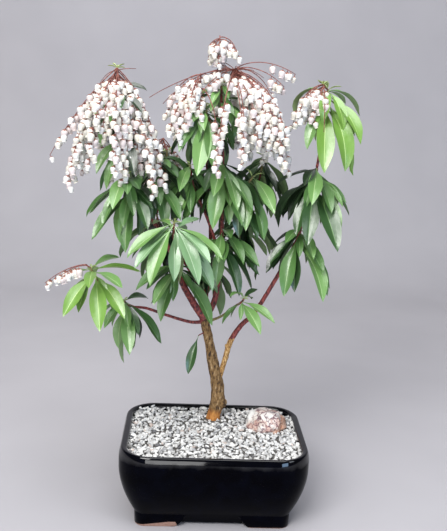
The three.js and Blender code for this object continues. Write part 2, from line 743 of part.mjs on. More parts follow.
// A smooth curve through stations of [x, y, z, radius], and the radius along it.
function throughStations(stations) {
  const points = stations.map(([x, y, z]) => new THREE.Vector3(x, y, z));
  const curve = new THREE.CatmullRomCurve3(points, false, 'catmullrom', 0.5);
  const spans = stations.length - 1;
  const radiusAt = (along) => {
    const span = Math.min(spans - 1, Math.floor(along * spans));
    return THREE.MathUtils.lerp(stations[span][3], stations[span + 1][3], along * spans - span);
  };
  return { curve, radiusAt, spans };
}

function boxBelow(height) {
  const size = POT_LENGTH;
  return solidOf(new THREE.BoxGeometry(size, size, size).translate(0, 0, height - size / 2));
}

function knobSolid(grow) {
  const ball = new THREE.SphereGeometry(KNOB.radius + grow, 8, 6);
  return solidOf(ball.translate(...KNOB.place));
}

function makeTrunk() {
  const { curve, radiusAt } = throughStations(TRUNK);
  addLimb('trunk', curve, radiusAt, TRUNK_SIDES, TRUNK_STEPS);
  limbs.trunk.solid = limbs.trunk.solid.add(knobSolid(0)).subtract(boxBelow(TRUNK_CUT));
  limbs.trunk.pocket = limbs.trunk.pocket.add(knobSolid(GAP)).subtract(boxBelow(TRUNK_CUT - GAP));
}

// A stem's middle line: it leaves its carrier outwards and arcs up to its tip.
function stemCurve(start, tip) {
  const bend = new THREE.Vector3(
    THREE.MathUtils.lerp(start.x, tip.x, 0.7),
    THREE.MathUtils.lerp(start.y, tip.y, 0.7),
    THREE.MathUtils.lerp(start.z, tip.z, 0.4),
  );
  return new THREE.QuadraticBezierCurve3(start, bend, tip);
}

function growLimb(name, entry) {
  const start = limbs[entry.from].curve.getPoint(entry.at ?? 1);
  if (entry.stations) {
    const foot = [start.x, start.y, start.z, entry.foot];
    const { curve, radiusAt, spans } = throughStations([foot, ...entry.stations]);
    addLimb(name, curve, radiusAt, BOUGH_SIDES, spans < 3 ? spans * 2 : spans);
    return;
  }
  const tip = new THREE.Vector3(...entry.tip);
  const [footRadius, tipRadius] = entry.racemes ? STALK_RADII : STEM_RADII;
  const radiusAt = (along) => THREE.MathUtils.lerp(footRadius, tipRadius, along);
  addLimb(name, stemCurve(start, tip), radiusAt, entry.racemes ? 3 : 4, STEM_STEPS);
}

// A point on the straight pieces that a stem is made of.
function stemPoint(name, along) {
  const { curve } = limbs[name];
  const piece = Math.min(STEM_STEPS - 1, Math.floor(along * STEM_STEPS));
  const end = curve.getPoint((piece + 1) / STEM_STEPS);
  return curve.getPoint(piece / STEM_STEPS).lerp(end, along * STEM_STEPS - piece);
}

// A spine that leaves `root` at an azimuth and a slope, and bends down along its length.
function makeSpine(root, azimuth, rise, droop, length, bend) {
  const outward = new THREE.Vector3(Math.cos(azimuth), Math.sin(azimuth), 0);
  const points = [root.clone()];
  for (let step = 0; step < SPINE_STEPS; step += 1) {
    const slope = rise - droop * ((step + 0.5) / SPINE_STEPS) ** bend;
    const next = points[step].clone();
    next.addScaledVector(outward, (Math.cos(slope) * length) / SPINE_STEPS);
    next.addScaledVector(UP, (Math.sin(slope) * length) / SPINE_STEPS);
    points.push(next);
  }
  const slopeAt = (step) => rise - droop * (step / SPINE_STEPS) ** bend;
  return { points, outward, length, slopeAt };
}

// One leaf: a point at its foot, two three-cornered sections and a pointed tip.
function leafSolid(spine, width, roll, grow) {
  const across = new THREE.Vector3().crossVectors(UP, spine.outward);
  return wrapBall(3, 2, (ring, turn) => {
    const step = (ring * SPINE_STEPS) / 3;
    const slope = spine.slopeAt(step);
    const along = spine.outward.clone().multiplyScalar(Math.cos(slope));
    along.addScaledVector(UP, Math.sin(slope));
    const flatNormal = spine.outward.clone().multiplyScalar(-Math.sin(slope));
    flatNormal.addScaledVector(UP, Math.cos(slope));
    const side = across.clone().multiplyScalar(Math.cos(roll)).addScaledVector(flatNormal, Math.sin(roll));
    const normal = flatNormal.multiplyScalar(Math.cos(roll)).addScaledVector(across, -Math.sin(roll));
    const half = (LEAF_WIDTHS[ring] * width) / 2 + grow;
    const point = spine.points[step].clone();
    if (ring === 0) return point.addScaledVector(along, LEAF_ROOT);
    if (ring === 3) return point.addScaledVector(along, grow);
    if (Math.abs(turn) > 2) {
      return point.addScaledVector(normal, -LEAF_THICKNESS - grow);
    }
    const edge = turn > 0 ? -half : half;
    return point.addScaledVector(side, edge).addScaledVector(normal, LEAF_TROUGH * half + grow);
  });
}

// A spine that ends at a given place.
function spineTo(root, tip, droop) {
  const chord = tip.clone().sub(root);
  const trial = makeSpine(new THREE.Vector3(), 0, 0, droop, 1, SPINE_BEND).points[SPINE_STEPS];
  const slope = Math.atan2(chord.z, Math.hypot(chord.x, chord.y));
  const rise = slope - Math.atan2(trial.z, trial.x);
  const length = chord.length() / trial.length();
  return makeSpine(root, Math.atan2(chord.y, chord.x), rise, droop, length, SPINE_BEND);
}

// How far a leaf rolls about its spine to turn its face to the light, which comes from its own side.
function rollToLight(name, spine) {
  const side = limbs[name].curve.v2.y > LIGHT_DIVIDE ? 1 : -1;
  const light = new THREE.Vector3(0, side * Math.cos(radians(LIGHT_SLOPE)), Math.sin(radians(LIGHT_SLOPE)));
  const slope = spine.slopeAt(SPINE_STEPS / 2);
  const across = new THREE.Vector3().crossVectors(UP, spine.outward);
  const flatNormal = spine.outward.clone().multiplyScalar(-Math.sin(slope));
  flatNormal.addScaledVector(UP, Math.cos(slope));
  const turn = Math.atan2(-across.dot(light), flatNormal.dot(light)) * LIGHT_TURN;
  return THREE.MathUtils.clamp(turn, -radians(MOST_ROLL), radians(MOST_ROLL));
}

// The place on a stem that is `below` millimetres below `top`, a fraction of its length.
function stemPlace(name, top, below) {
  const { curve } = limbs[name];
  return stemPoint(name, Math.max(LEAST_HEIGHT, top - below / curve.v0.distanceTo(curve.v2)));
}

// A leaf that ends at a given place, or a little short of it at later tries.
function shownLeaf(name, mass, seed, leaf, attempt) {
  const share = leaf / Math.max(1, mass.shown.length - 1);
  const root = stemPlace(name, 1, WHORL_TOP + share * mass.leafy);
  const tip = root.clone().lerp(new THREE.Vector3(...mass.shown[leaf]), 1 - SHORTER_BY_TRY * attempt);
  const spine = spineTo(root, tip, radians(SHOWN_DROOP * (1 + attempt)));
  const thrown = (dice(seed, leaf, SHOWN_SIDE + attempt) - 0.5) * SHOWN_ROLL_THROW;
  return { spine, roll: rollToLight(name, spine) / (1 + attempt) + radians(thrown) };
}

// A leaf of a whorl: the young ones stand out from the top, and the older ones below them hang.
function whorlLeaf(name, mass, seed, leaf, attempt) {
  const whorls = mass.whorls ?? [1];
  const perWhorl = Math.ceil(mass.leaves / whorls.length);
  const age = (leaf % perWhorl) / (perWhorl - 1);
  const root = stemPlace(name, whorls[Math.floor(leaf / perWhorl)], WHORL_TOP + age * mass.leafy);
  const throws = [0, 1, 2, 3].map((side) => dice(seed, leaf, attempt * 4 + side));
  const turned = (throws[0] - 0.5) * widening(LEAF_AZIMUTH_THROW, attempt);
  const lifted = (throws[1] - 0.5) * widening(LEAF_RISE_THROW, attempt);
  const azimuth = radians(mass.turn + GOLDEN_ANGLE * leaf + turned);
  const rise = radians(mass.rise + RISE_BY_AGE * (0.5 - age) + lifted);
  const droop = radians(mass.droop * within(DROOP_RANGE, throws[2]));
  const fullLength = mass.length * within(LEAF_LENGTH_RANGE, dice(seed, leaf, LENGTH_SIDE));
  const length = fullLength * (1 - SHORTER_BY_TRY * attempt);
  const spine = makeSpine(root, azimuth, rise, droop, length, SPINE_BEND);
  return { spine, roll: rollToLight(name, spine) + radians((throws[3] - 0.5) * LEAF_ROLL_THROW) };
}

// One leaf at the first of its tries that is clear of the rest, or none.
function growLeaf(name, leafAt) {
  for (let attempt = 0; attempt < TRIES; attempt += 1) {
    const { spine, roll } = leafAt(attempt);
    const width = spine.length * LEAF_WIDTH_SHARE;
    const grown = leafSolid(spine, width, roll, GAP);
    const clear = isClear(name, grown, LEAVES_SHARE);
    grown.delete();
    if (!clear) continue;
    const solid = leafSolid(spine, width, roll, 0);
    remember(name, solid);
    return [solid];
  }
  return [];
}

// The leaves of one mass: first those that are shown, then its whorls.
function growLeaves(name, mass, seed) {
  const leaves = [];
  (mass.shown ?? []).forEach((tip, leaf) => {
    leaves.push(...growLeaf(name, (attempt) => shownLeaf(name, mass, seed, leaf, attempt)));
  });
  for (let leaf = 0; leaf < mass.leaves; leaf += 1) {
    leaves.push(...growLeaf(name, (attempt) => whorlLeaf(name, mass, seed, leaf, attempt)));
  }
  return leaves;
}

// One bell: a six-faced urn that hangs by its top point from the rachis.
function bellSolid(hook, hang, grow) {
  const length = hang.length();
  const along = hang.clone().normalize();
  const side = new THREE.Vector3(0, 1, 0).cross(along).normalize();
  const front = new THREE.Vector3().crossVectors(along, side);
  const drops = [-BELL_ROOT, length * BELL_BELLY, length + grow];
  return wrapBall(3, 1, (ring, turn) => {
    const radius = ring === 1 ? BELL_RADIUS + grow : 0;
    const point = hook.clone().addScaledVector(along, drops[ring]);
    point.addScaledVector(side, radius * Math.cos(turn));
    return point.addScaledVector(front, radius * Math.sin(turn));
  });
}

// The ends of the straight pieces that a rachis is made of.
function rachisPoint(spine, piece) {
  return spine.points[(piece * SPINE_STEPS) / RACHIS_PIECES];
}

// The three-sided axis that carries the bells, pointed at both ends.
function rachisSolid(spine, grow) {
  const across = new THREE.Vector3().crossVectors(UP, spine.outward);
  return wrapBall(3, RACHIS_PIECES - 1, (ring, turn) => {
    const slope = spine.slopeAt((ring * SPINE_STEPS) / RACHIS_PIECES);
    const normal = spine.outward.clone().multiplyScalar(-Math.sin(slope));
    normal.addScaledVector(UP, Math.cos(slope));
    const radius = ring === 0 || ring === RACHIS_PIECES ? 0 : RACHIS_RADIUS + grow;
    const point = rachisPoint(spine, ring).clone();
    point.addScaledVector(normal, -radius * Math.cos(turn));
    return point.addScaledVector(across, radius * Math.sin(turn));
  });
}

function growBells(name, spine, length, seed, raceme) {
  const bells = [];
  const count = Math.max(2, Math.floor((length * RACHIS_IN_FLOWER) / BELL_SPACING));
  for (let bell = 0; bell < count; bell += 1) {
    const place = RACHIS_PIECES * (LAST_BELL - (bell * RACHIS_IN_FLOWER) / count);
    const piece = Math.floor(place);
    const hook = rachisPoint(spine, piece).clone().lerp(rachisPoint(spine, piece + 1), place - piece);
    const across = new THREE.Vector3().crossVectors(UP, spine.outward);
    const splay = BELL_SPLAY * (BELL_SPLAY_LEAST + dice(seed, raceme, bell));
    const lean = radians(bell % 2 ? splay : -splay);
    const outwards = within(BELL_OUTWARD_RANGE, dice(seed, raceme, bell + SWING_SIDE));
    const hang = new THREE.Vector3(0, 0, -Math.cos(lean));
    hang.addScaledVector(across, Math.sin(lean)).addScaledVector(spine.outward, outwards);
    hang.normalize().multiplyScalar(BELL_HANG);
    const grown = bellSolid(hook, hang, GAP);
    if (isClear(name, grown, BELLS_SHARE)) {
      const solid = bellSolid(hook, hang, 0);
      remember(name, solid);
      bells.push(solid);
    }
    grown.delete();
  }
  return bells;
}

// One raceme where there is room for it, or nothing.
function growRaceme(name, root, { azimuth, rise, fall, length }, seed, raceme) {
  const spine = makeSpine(root, azimuth, rise, rise - fall, length, RACHIS_BEND);
  const grown = rachisSolid(spine, GAP);
  const clear = isClear(name, grown, RACHISES_SHARE);
  grown.delete();
  if (!clear) return [];
  const axis = rachisSolid(spine, 0);
  remember(name, axis);
  return [axis, ...growBells(name, spine, length, seed, raceme)];
}

// Where a raceme leaves its stalk: by turns from the top down.
function racemeRoot(name, panicle, raceme) {
  const down = ((raceme * RACEME_STRIDE) % panicle.racemes) / panicle.racemes;
  return stemPoint(name, RACEME_TOP - RACEME_DEPTH * down);
}

// The racemes of one panicle, spread over its fan, long and short by turns, and its strays.
function growRacemes(name, panicle, seed) {
  const [from, to] = panicle.fan;
  const parts = [];
  for (let raceme = 0; raceme < panicle.racemes; raceme += 1) {
    const root = racemeRoot(name, panicle, raceme);
    const share = (raceme + 0.5) / panicle.racemes;
    const reach = panicle.reach * (raceme % 2 ? SHORT_RACEME : 1);
    let grown = [];
    for (let attempt = 0; attempt < TRIES && grown.length === 0; attempt += 1) {
      const throws = [0, 1, 2].map((side) => dice(seed, raceme, attempt * 3 + side + RACEME_SIDE));
      const turned = (throws[0] - 0.5) * widening(RACEME_AZIMUTH_THROW, attempt);
      grown = growRaceme(name, root, {
        azimuth: radians(from + (to - from) * share + turned),
        rise: radians(panicle.rise + (throws[1] - 0.5) * RACEME_RISE_THROW),
        fall: radians(panicle.fall),
        length: reach * within(RACEME_LENGTH_RANGE, throws[2]),
      }, seed, raceme);
    }
    parts.push(...grown);
  }
  const top = racemeRoot(name, panicle, 0);
  panicle.strays.forEach(([azimuth, rise, fall, length], stray) => {
    const course = { azimuth: radians(azimuth), rise: radians(rise), fall: radians(fall), length };
    parts.push(...growRaceme(name, top, course, seed, panicle.racemes + stray));
  });
  return parts;
}

function fuse(stem, parts) {
  return mainBody(parts.reduce((whole, part) => whole.add(part), stem));
}

function leafMaterial(name) {
  if (BRIGHT_MASSES.includes(name)) return MATERIALS.bright_leaf;
  if (PALE_MASSES.includes(name)) return MATERIALS.pale_leaf;
  return MATERIALS.leaf;
}

// Putting it together: pot and fill, the limbs and stems, the blossom, and last the leaves
const plant = new THREE.Group();

makeTrunk();
plant.add(meshOf('pot', makePot(), MATERIALS.glaze));
plant.add(meshOf('gravel', makeGravel([limbs.trunk.pocket, makeStone(GAP)]), MATERIALS.gravel));
plant.add(meshOf('ornamental_stone', makeStone(), MATERIALS.stone));
plant.add(meshOf('trunk', limbs.trunk.solid, MATERIALS.bark));

const entries = Object.entries(GROWTH);
entries.forEach(([name, entry]) => growLimb(name, entry));
Object.entries(limbs).forEach(([name, limb]) => remember(name, limb.solid));
entries.forEach(([name, entry], seed) => {
  if (entry.stations) plant.add(meshOf(name, limbs[name].solid, MATERIALS.young_bark));
  if (!entry.racemes) return;
  plant.add(meshOf(name, fuse(limbs[name].solid, growRacemes(name, entry, seed)), MATERIALS.blossom));
});
entries.forEach(([name, entry], seed) => {
  if (entry.leaves === undefined) return;
  plant.add(meshOf(name, fuse(limbs[name].solid, growLeaves(name, entry, seed)), leafMaterial(name)));
});

const reach = new THREE.Box3().setFromObject(plant);
const middle = reach.getCenter(new THREE.Vector3());
plant.position.set(-middle.x, -middle.y, 0);

export default plant;
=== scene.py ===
"""A mountain fire pieris bonsai in flower, in its oblong glazed pot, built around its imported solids."""

import copy
import math

import bmesh
import bpy
import numpy as np
from mathutils import Matrix, Vector, noise
from mathutils.bvhtree import BVHTree
from mathutils.kdtree import KDTree


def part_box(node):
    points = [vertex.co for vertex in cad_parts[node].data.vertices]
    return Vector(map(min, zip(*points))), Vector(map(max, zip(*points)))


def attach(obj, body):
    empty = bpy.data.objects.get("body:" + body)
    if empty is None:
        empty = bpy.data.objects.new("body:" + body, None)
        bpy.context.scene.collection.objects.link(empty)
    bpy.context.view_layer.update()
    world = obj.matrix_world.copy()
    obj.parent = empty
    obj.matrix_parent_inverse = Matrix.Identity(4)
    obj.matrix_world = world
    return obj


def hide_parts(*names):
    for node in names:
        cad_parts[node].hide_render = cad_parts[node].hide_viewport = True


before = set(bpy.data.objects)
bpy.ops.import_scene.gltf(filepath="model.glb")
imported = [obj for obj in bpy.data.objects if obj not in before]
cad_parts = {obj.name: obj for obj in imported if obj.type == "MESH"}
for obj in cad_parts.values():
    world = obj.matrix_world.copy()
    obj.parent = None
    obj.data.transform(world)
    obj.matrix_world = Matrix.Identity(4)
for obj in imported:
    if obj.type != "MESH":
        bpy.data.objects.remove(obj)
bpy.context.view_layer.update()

# Pot
# An oblong stoneware bonsai pot with a rounded shoulder, a belly that draws in to four corner feet and a
# near-black glossy glaze. It is cast or pressed in a mould, glazed all over and wiped bare under the feet.

MM = 0.001
pot_low, pot_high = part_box("pot")
POT_MIDDLE = np.array([(pot_low.x + pot_high.x) / 2, (pot_low.y + pot_high.y) / 2, 0.0])
PLANT_SHIFT = POT_MIDDLE / MM

POT_LENGTH = 203.0
POT_WIDTH = 152.0
POT_HEIGHT = 86.0
POT_CORNER = 36.5
CORNER_TIGHTENING = 1.35
LEAST_CORNER = 9.0
SHOULDER_FOOT = 74.0
SHOULDER_INSET = 2.8
SHOULDER_HEIGHTS = (69.0, 74.0, 76.5, 79.0, 81.0, 83.0)
BELLY_TOP = 64.0
BELLY_FOOT = 15.5
BELLY_INSET = 17.5
BELLY_CURVE = 1.9
BELLY_ROWS = 20
# How far inside the widest outline, and how high, for the lip and then the top of the inside.
LIP = [
    (2.15, 84.5), (2.6, 85.4), (3.3, 85.9), (4.4, 86.0), (6.0, 85.8), (7.6, 85.2), (8.7, 84.3), (9.1, 83.2),
]
INSIDE = [(8.3, 81.8), (7.4, 79.5), (7.1, 70.0)]
WALL = 6.5
WALL_MIDDLE = 40.0
BASE_UNDERSIDE = 3.0
BASE_INSET = 24.0
POT_FLOOR = 11.0
FOOT_INSET = 18.5
FOOT_DEPTH = 13.0
FOOT_LENGTH = 45.0
FOOT_WIDTH = 36.0
FOOT_CHAMFER = 0.8
FOOT_TOP = 10.0
ARCH_HEIGHT = 13.0
ARCH_ROUND = 8.0
ARCH_CURVE = 2.0
ARCH_BEND = 1.3
ARCH_STEPS = 16
SKIRT_LAP = 0.6
SKIRT_SET_IN = (0.3, 3.0)
SIDE_TOLERANCE = 0.5
POT_RING_STEPS = (14, 8)
SKIRT_RING_STEPS = (8, 110)
WIPED_LENGTH = (-0.082, -0.046)
WIPED_END = (-0.039, -0.036)
WIPED_HEIGHTS = (0.0008, 0.0056)
GLAZE_EDGE = 0.0006
CLAY_ROUGHNESS = 0.75
GLAZE_ROUGHNESS = 0.06
SHEEN_HEIGHTS = (0.0755, 0.0815)
SHEEN = (0.03, 0.5)
WAVER_GRAIN = 90.0
WAVER = 1.5


def wall_inset(height):
    """How far the outside of the pot lies inside its widest outline, at a height."""
    if height > SHOULDER_FOOT:
        return SHOULDER_INSET * ((height - SHOULDER_FOOT) / (POT_HEIGHT - SHOULDER_FOOT)) ** 2
    if height > BELLY_TOP:
        return 0.0
    drop = (BELLY_TOP - max(height, BELLY_FOOT)) / (BELLY_TOP - BELLY_FOOT)
    return BELLY_INSET * drop ** BELLY_CURVE


def oblong_ring(inset, corner_steps, side_steps):
    """Points round the rounded oblong that lies `inset` inside the pot's widest outline."""
    rounding = max(LEAST_CORNER, POT_CORNER - inset * CORNER_TIGHTENING)
    corner_x = POT_LENGTH / 2 - inset - rounding
    corner_y = POT_WIDTH / 2 - inset - rounding
    corners = [(corner_x, corner_y), (-corner_x, corner_y), (-corner_x, -corner_y), (corner_x, -corner_y)]
    points = []
    for corner, (x, y) in enumerate(corners):
        for step in range(corner_steps + 1):
            angle = (corner + step / corner_steps) * math.pi / 2
            points.append((x + rounding * math.cos(angle), y + rounding * math.sin(angle)))
        start = points[-1]
        next_x, next_y = corners[(corner + 1) % 4]
        turn = (corner + 1) * math.pi / 2
        end = (next_x + rounding * math.cos(turn), next_y + rounding * math.sin(turn))
        for step in range(1, side_steps):
            share = step / side_steps
            points.append((start[0] + (end[0] - start[0]) * share, start[1] + (end[1] - start[1]) * share))
    return points


def loft(rings, closed_ends=True):
    """Vertices and faces of a skin over rings of as many points each, in order."""
    count = len(rings[0])
    vertices = [point for ring in rings for point in ring]
    faces = []
    for row in range(len(rings) - 1):
        for side in range(count):
            beside = (side + 1) % count
            low = row * count
            high = low + count
            faces.append((low + side, low + beside, high + beside, high + side))
    if closed_ends:
        faces.append(tuple(reversed(range(count))))
        last = (len(rings) - 1) * count
        faces.append(tuple(range(last, last + count)))
    return vertices, faces


class Pile:
    """Vertices and faces of forms that become one mesh, with the number of each face's material."""

    def __init__(self):
        self.vertices = []
        self.faces = []
        self.tones = []

    def add(self, vertices, faces, tones=0):
        """Put a form on the pile, which is given back. `tones` is its material, or a list with one a face."""
        start = len(self.vertices)
        self.vertices.extend(vertices)
        self.faces += [tuple(corner + start for corner in face) for face in faces]
        self.tones += tones if isinstance(tones, list) else [tones] * len(faces)
        return self


def make_object(name, pile, finishes, sharp=None, shift=0.0):
    """A mesh object from a pile in millimetres, smooth except at edges over `sharp` degrees."""
    mesh = bpy.data.meshes.new(name)
    points = ((np.asarray(pile.vertices, float) + shift) * MM).tolist()
    mesh.from_pydata(points, [], pile.faces)
    for finish in finishes:
        mesh.materials.append(finish.material)
    mesh.polygons.foreach_set("material_index", pile.tones)
    mesh.polygons.foreach_set("use_smooth", [sharp != 0] * len(mesh.polygons))
    mesh.update()
    if sharp:
        mesh.set_sharp_from_angle(angle=math.radians(sharp))
    made = bpy.data.objects.new(name, mesh)
    bpy.context.scene.collection.objects.link(made)
    return made


class Finish:
    """A principled material and its nodes. Places in it are the object's own coordinates in metres."""

    def __init__(self, name, color, roughness):
        self.material = bpy.data.materials.new(name)
        self.material.use_nodes = True
        self.nodes = self.material.node_tree.nodes
        self.sockets = self.nodes["Principled BSDF"].inputs
        self.sockets["Base Color"].default_value = (*color, 1.0)
        self.sockets["Roughness"].default_value = roughness

    def link(self, source, socket):
        """Join an output to a socket."""
        self.material.node_tree.links.new(source, socket)

    def place(self):
        """The object's own coordinates."""
        return self.nodes.new("ShaderNodeTexCoord").outputs["Object"]

    def axis(self, letter):
        """One of the object's own coordinates."""
        split = self.nodes.new("ShaderNodeSeparateXYZ")
        self.link(self.place(), split.inputs["Vector"])
        return split.outputs[letter]

    def grain(self, scale, detail=3.0, roughness=0.5, stretch=(1.0, 1.0, 1.0)):
        """A noise over the object's own coordinates."""
        mapping = self.nodes.new("ShaderNodeMapping")
        mapping.inputs["Scale"].default_value = stretch
        texture = self.nodes.new("ShaderNodeTexNoise")
        texture.inputs["Scale"].default_value = scale
        texture.inputs["Detail"].default_value = detail
        texture.inputs["Roughness"].default_value = roughness
        self.link(self.place(), mapping.inputs["Vector"])
        self.link(mapping.outputs["Vector"], texture.inputs["Vector"])
        return texture.outputs["Fac"]

    def tone(self, source, stops):
        """A colour picked by a value, from stops of position and colour."""
        ramp = self.nodes.new("ShaderNodeValToRGB")
        elements = ramp.color_ramp.elements
        while len(elements) < len(stops):
            elements.new(0.5)
        for element, (position, color) in zip(elements, stops):
            element.position = position
            element.color = (*color, 1.0)
        self.link(source, ramp.inputs["Fac"])
        return ramp.outputs["Color"]

    def spread(self, source, ends, results):
        """A value that goes between two results while another goes between two ends."""
        node = self.nodes.new("ShaderNodeMapRange")
        for socket, value in zip(("From Min", "From Max", "To Min", "To Max"), (*ends, *results)):
            node.inputs[socket].default_value = value
        self.link(source, node.inputs["Value"])
        return node.outputs["Result"]

    def worked_out(self, operation, *terms):
        """The result of one step of arithmetic on outputs and plain numbers."""
        node = self.nodes.new("ShaderNodeMath")
        node.operation = operation
        for socket, term in zip(node.inputs, terms):
            if isinstance(term, float):
                socket.default_value = term
            else:
                self.link(term, socket)
        return node.outputs["Value"]

    def above(self, low, high):
        """0 below `low` metres and 1 above `high`, with a wavering edge."""
        rise = high - low
        wavering = self.worked_out("MULTIPLY_ADD", self.grain(WAVER_GRAIN, 2.0), rise * WAVER, self.axis("Z"))
        return self.spread(wavering, (low + rise * WAVER / 2, high + rise * WAVER / 2), (0.0, 1.0))

    def mixed(self, factor, first, second):
        """A mix of two colours, each an output or a plain colour."""
        mix = self.nodes.new("ShaderNodeMix")
        mix.data_type = "RGBA"
        if isinstance(factor, float):
            mix.inputs["Factor"].default_value = factor
        else:
            self.link(factor, mix.inputs["Factor"])
        sockets = [entry for entry in mix.inputs if entry.type == "RGBA"]
        for socket, color in zip(sockets, (first, second)):
            if isinstance(color, tuple):
                socket.default_value = (*color, 1.0)
            else:
                self.link(color, socket)
        return [entry for entry in mix.outputs if entry.type == "RGBA"][0]

    def color(self, source):
        """Give the surface a colour."""
        self.link(source, self.sockets["Base Color"])

    def relief(self, source, distance, strength=1.0):
        """Give the surface relief of `distance` metres from a height."""
        bump = self.nodes.new("ShaderNodeBump")
        bump.inputs["Strength"].default_value = strength
        bump.inputs["Distance"].default_value = distance
        self.link(source, bump.inputs["Height"])
        self.link(bump.outputs["Normal"], self.sockets["Normal"])

    def speckle(self, source, stops, *relief):
        """Colour the surface by a grain, and give it relief from the same grain where its depth is given."""
        self.color(self.tone(source, stops))
        if relief:
            self.relief(source, *relief)


outside = [(BASE_INSET, BASE_UNDERSIDE)]
outside += [(wall_inset(height), height) for height in np.linspace(BELLY_FOOT, BELLY_TOP, BELLY_ROWS)]
outside += [(wall_inset(height), height) for height in SHOULDER_HEIGHTS]
inside = INSIDE + [(wall_inset(WALL_MIDDLE) + WALL, WALL_MIDDLE), (BASE_INSET, POT_FLOOR)]
pot_rings = []
for inset, height in outside + LIP + inside:
    pot_rings.append([(x, y, height) for x, y in oblong_ring(inset, *POT_RING_STEPS)])
pot_pile = Pile().add(*loft(pot_rings))


def arch_heights(half_span):
    """Distances from the middle of a side, and how high the skirt's lower edge stands there."""
    steps = np.linspace(0.0, 1.0, ARCH_STEPS)
    left = 1 - steps
    foot_x = left ** 2 * (half_span + ARCH_ROUND)
    foot_x += 2 * steps * left * (half_span - ARCH_ROUND / 2) + steps ** 2 * (half_span - ARCH_ROUND)
    foot_z = steps ** 2 * (ARCH_HEIGHT - ARCH_CURVE) - left ** 2
    top_x = left ** 2 * (half_span - ARCH_ROUND)
    top_x += 2 * steps * left * (half_span - ARCH_ROUND * ARCH_BEND)
    top_x += steps ** 2 * (half_span - ARCH_ROUND * 2)
    top_z = left ** 2 * (ARCH_HEIGHT - ARCH_CURVE) + (1 - left ** 2) * ARCH_HEIGHT
    distance = np.concatenate([foot_x, top_x[1:]])[::-1]
    height = np.clip(np.concatenate([foot_z, top_z[1:]]), 0.0, ARCH_HEIGHT)[::-1]
    return distance, height


FRONT_ARCH = arch_heights(POT_LENGTH / 2 - FOOT_INSET - FOOT_LENGTH)
SIDE_ARCH = arch_heights(POT_WIDTH / 2 - FOOT_INSET - FOOT_WIDTH)


def skirt_edge(x, y, inset):
    """How high the skirt's lower edge stands at a point of its outline."""
    on_long_side = abs(y) > POT_WIDTH / 2 - inset - SIDE_TOLERANCE
    distance, height = FRONT_ARCH if on_long_side else SIDE_ARCH
    return float(np.interp(abs(x) if on_long_side else abs(y), distance, height))


skirt_rows = [
    (FOOT_INSET + FOOT_DEPTH, FOOT_TOP), (FOOT_INSET + FOOT_DEPTH, None),
    (FOOT_INSET + FOOT_DEPTH - FOOT_CHAMFER, 0.0), (FOOT_INSET + FOOT_CHAMFER, 0.0), (FOOT_INSET, None),
    (BELLY_INSET + SKIRT_SET_IN[0], BELLY_FOOT + SKIRT_LAP),
    (BELLY_INSET + SKIRT_SET_IN[1], BELLY_FOOT + SKIRT_LAP),
]
skirt_rings = []
for inset, top in skirt_rows:
    ring = []
    for x, y in oblong_ring(inset, *SKIRT_RING_STEPS):
        edge = skirt_edge(x, y, inset)
        ring.append((x, y, max(edge, top) if top is not None else edge + FOOT_CHAMFER))
    skirt_rings.append(ring)
skirt_rings.append(skirt_rings[0])
pot_pile.add(*loft(skirt_rings, closed_ends=False))

glaze = Finish("black_glaze", (0.001, 0.001, 0.003), GLAZE_ROUGHNESS)
glaze.sockets["Specular IOR Level"].default_value = 0.1
glaze.relief(glaze.grain(26.0, 2.0), 0.0012, 0.35)
along_foot = glaze.spread(glaze.axis("X"), POT_MIDDLE[0] + WIPED_LENGTH, WIPED_HEIGHTS)
before_end = glaze.spread(glaze.axis("X"), POT_MIDDLE[0] + WIPED_END, (1.0, 0.0))
wiped_height = glaze.worked_out("MULTIPLY", along_foot, before_end)
over_wiped = glaze.worked_out("SUBTRACT", glaze.axis("Z"), wiped_height)
over_wiped = glaze.spread(over_wiped, (0.0, GLAZE_EDGE), (0.0, 1.0))
glazed = glaze.worked_out("MINIMUM", glaze.above(GLAZE_EDGE, 0.0014), over_wiped)
clay = glaze.tone(glaze.grain(900.0, 2.0), [(0.3, (0.30, 0.17, 0.13)), (0.7, (0.44, 0.28, 0.22))])
glaze_stops = [(0.35, (0.0005, 0.0005, 0.0014)), (0.7, (0.0010, 0.0012, 0.0035))]
glaze_tone = glaze.tone(glaze.grain(60.0, 3.0), glaze_stops)
glaze.color(glaze.mixed(glazed, clay, glaze_tone))
glaze.link(glaze.spread(glazed, (0.0, 1.0), (CLAY_ROUGHNESS, GLAZE_ROUGHNESS)), glaze.sockets["Roughness"])
glaze.link(glaze.spread(glaze.above(*SHEEN_HEIGHTS), (0.0, 1.0), SHEEN), glaze.sockets["Specular IOR Level"])

pot = make_object("glazed_pot", pot_pile, [glaze], sharp=50, shift=PLANT_SHIFT)
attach(pot, "root")
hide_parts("pot")

# Gravel
# Crushed white and grey granite of 5 to 8 mm, strewn loose over dark potting grit up to just under the lip.
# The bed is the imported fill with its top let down, and the chips on it are split stone, small and angular.

BED_LET_DOWN = 1.7
PACKED_BED_FOOT = 60.0
ABOVE_BED = 100.0
CHIP_SPACING = 4.5
CHIP_STRAY = 1.7
CHIP_SIZES = (2.4, 3.9)
CHIP_SEED = 7
CHIP_KINDS = 18
CHIP_CORNERS = 10
CHIP_REACHES = (0.75, 1.1)
CHIP_WIDTHS = (0.7, 0.95)
CHIP_FLATNESS = 0.66
CHIP_TILT = 0.45
CHIP_UNEVEN = 0.5
# Share of the places that a layer fills, and how far it stands above the bed.
CHIP_LAYERS = ((1.0, 0.0), (0.5, 1.1))
CHIPS_SHORT_OF_SIDE = 8.3
HEAPED_AT_WALL = 3.0
HEAPED_AT_END = 0.5
HEAP_START = 0.5
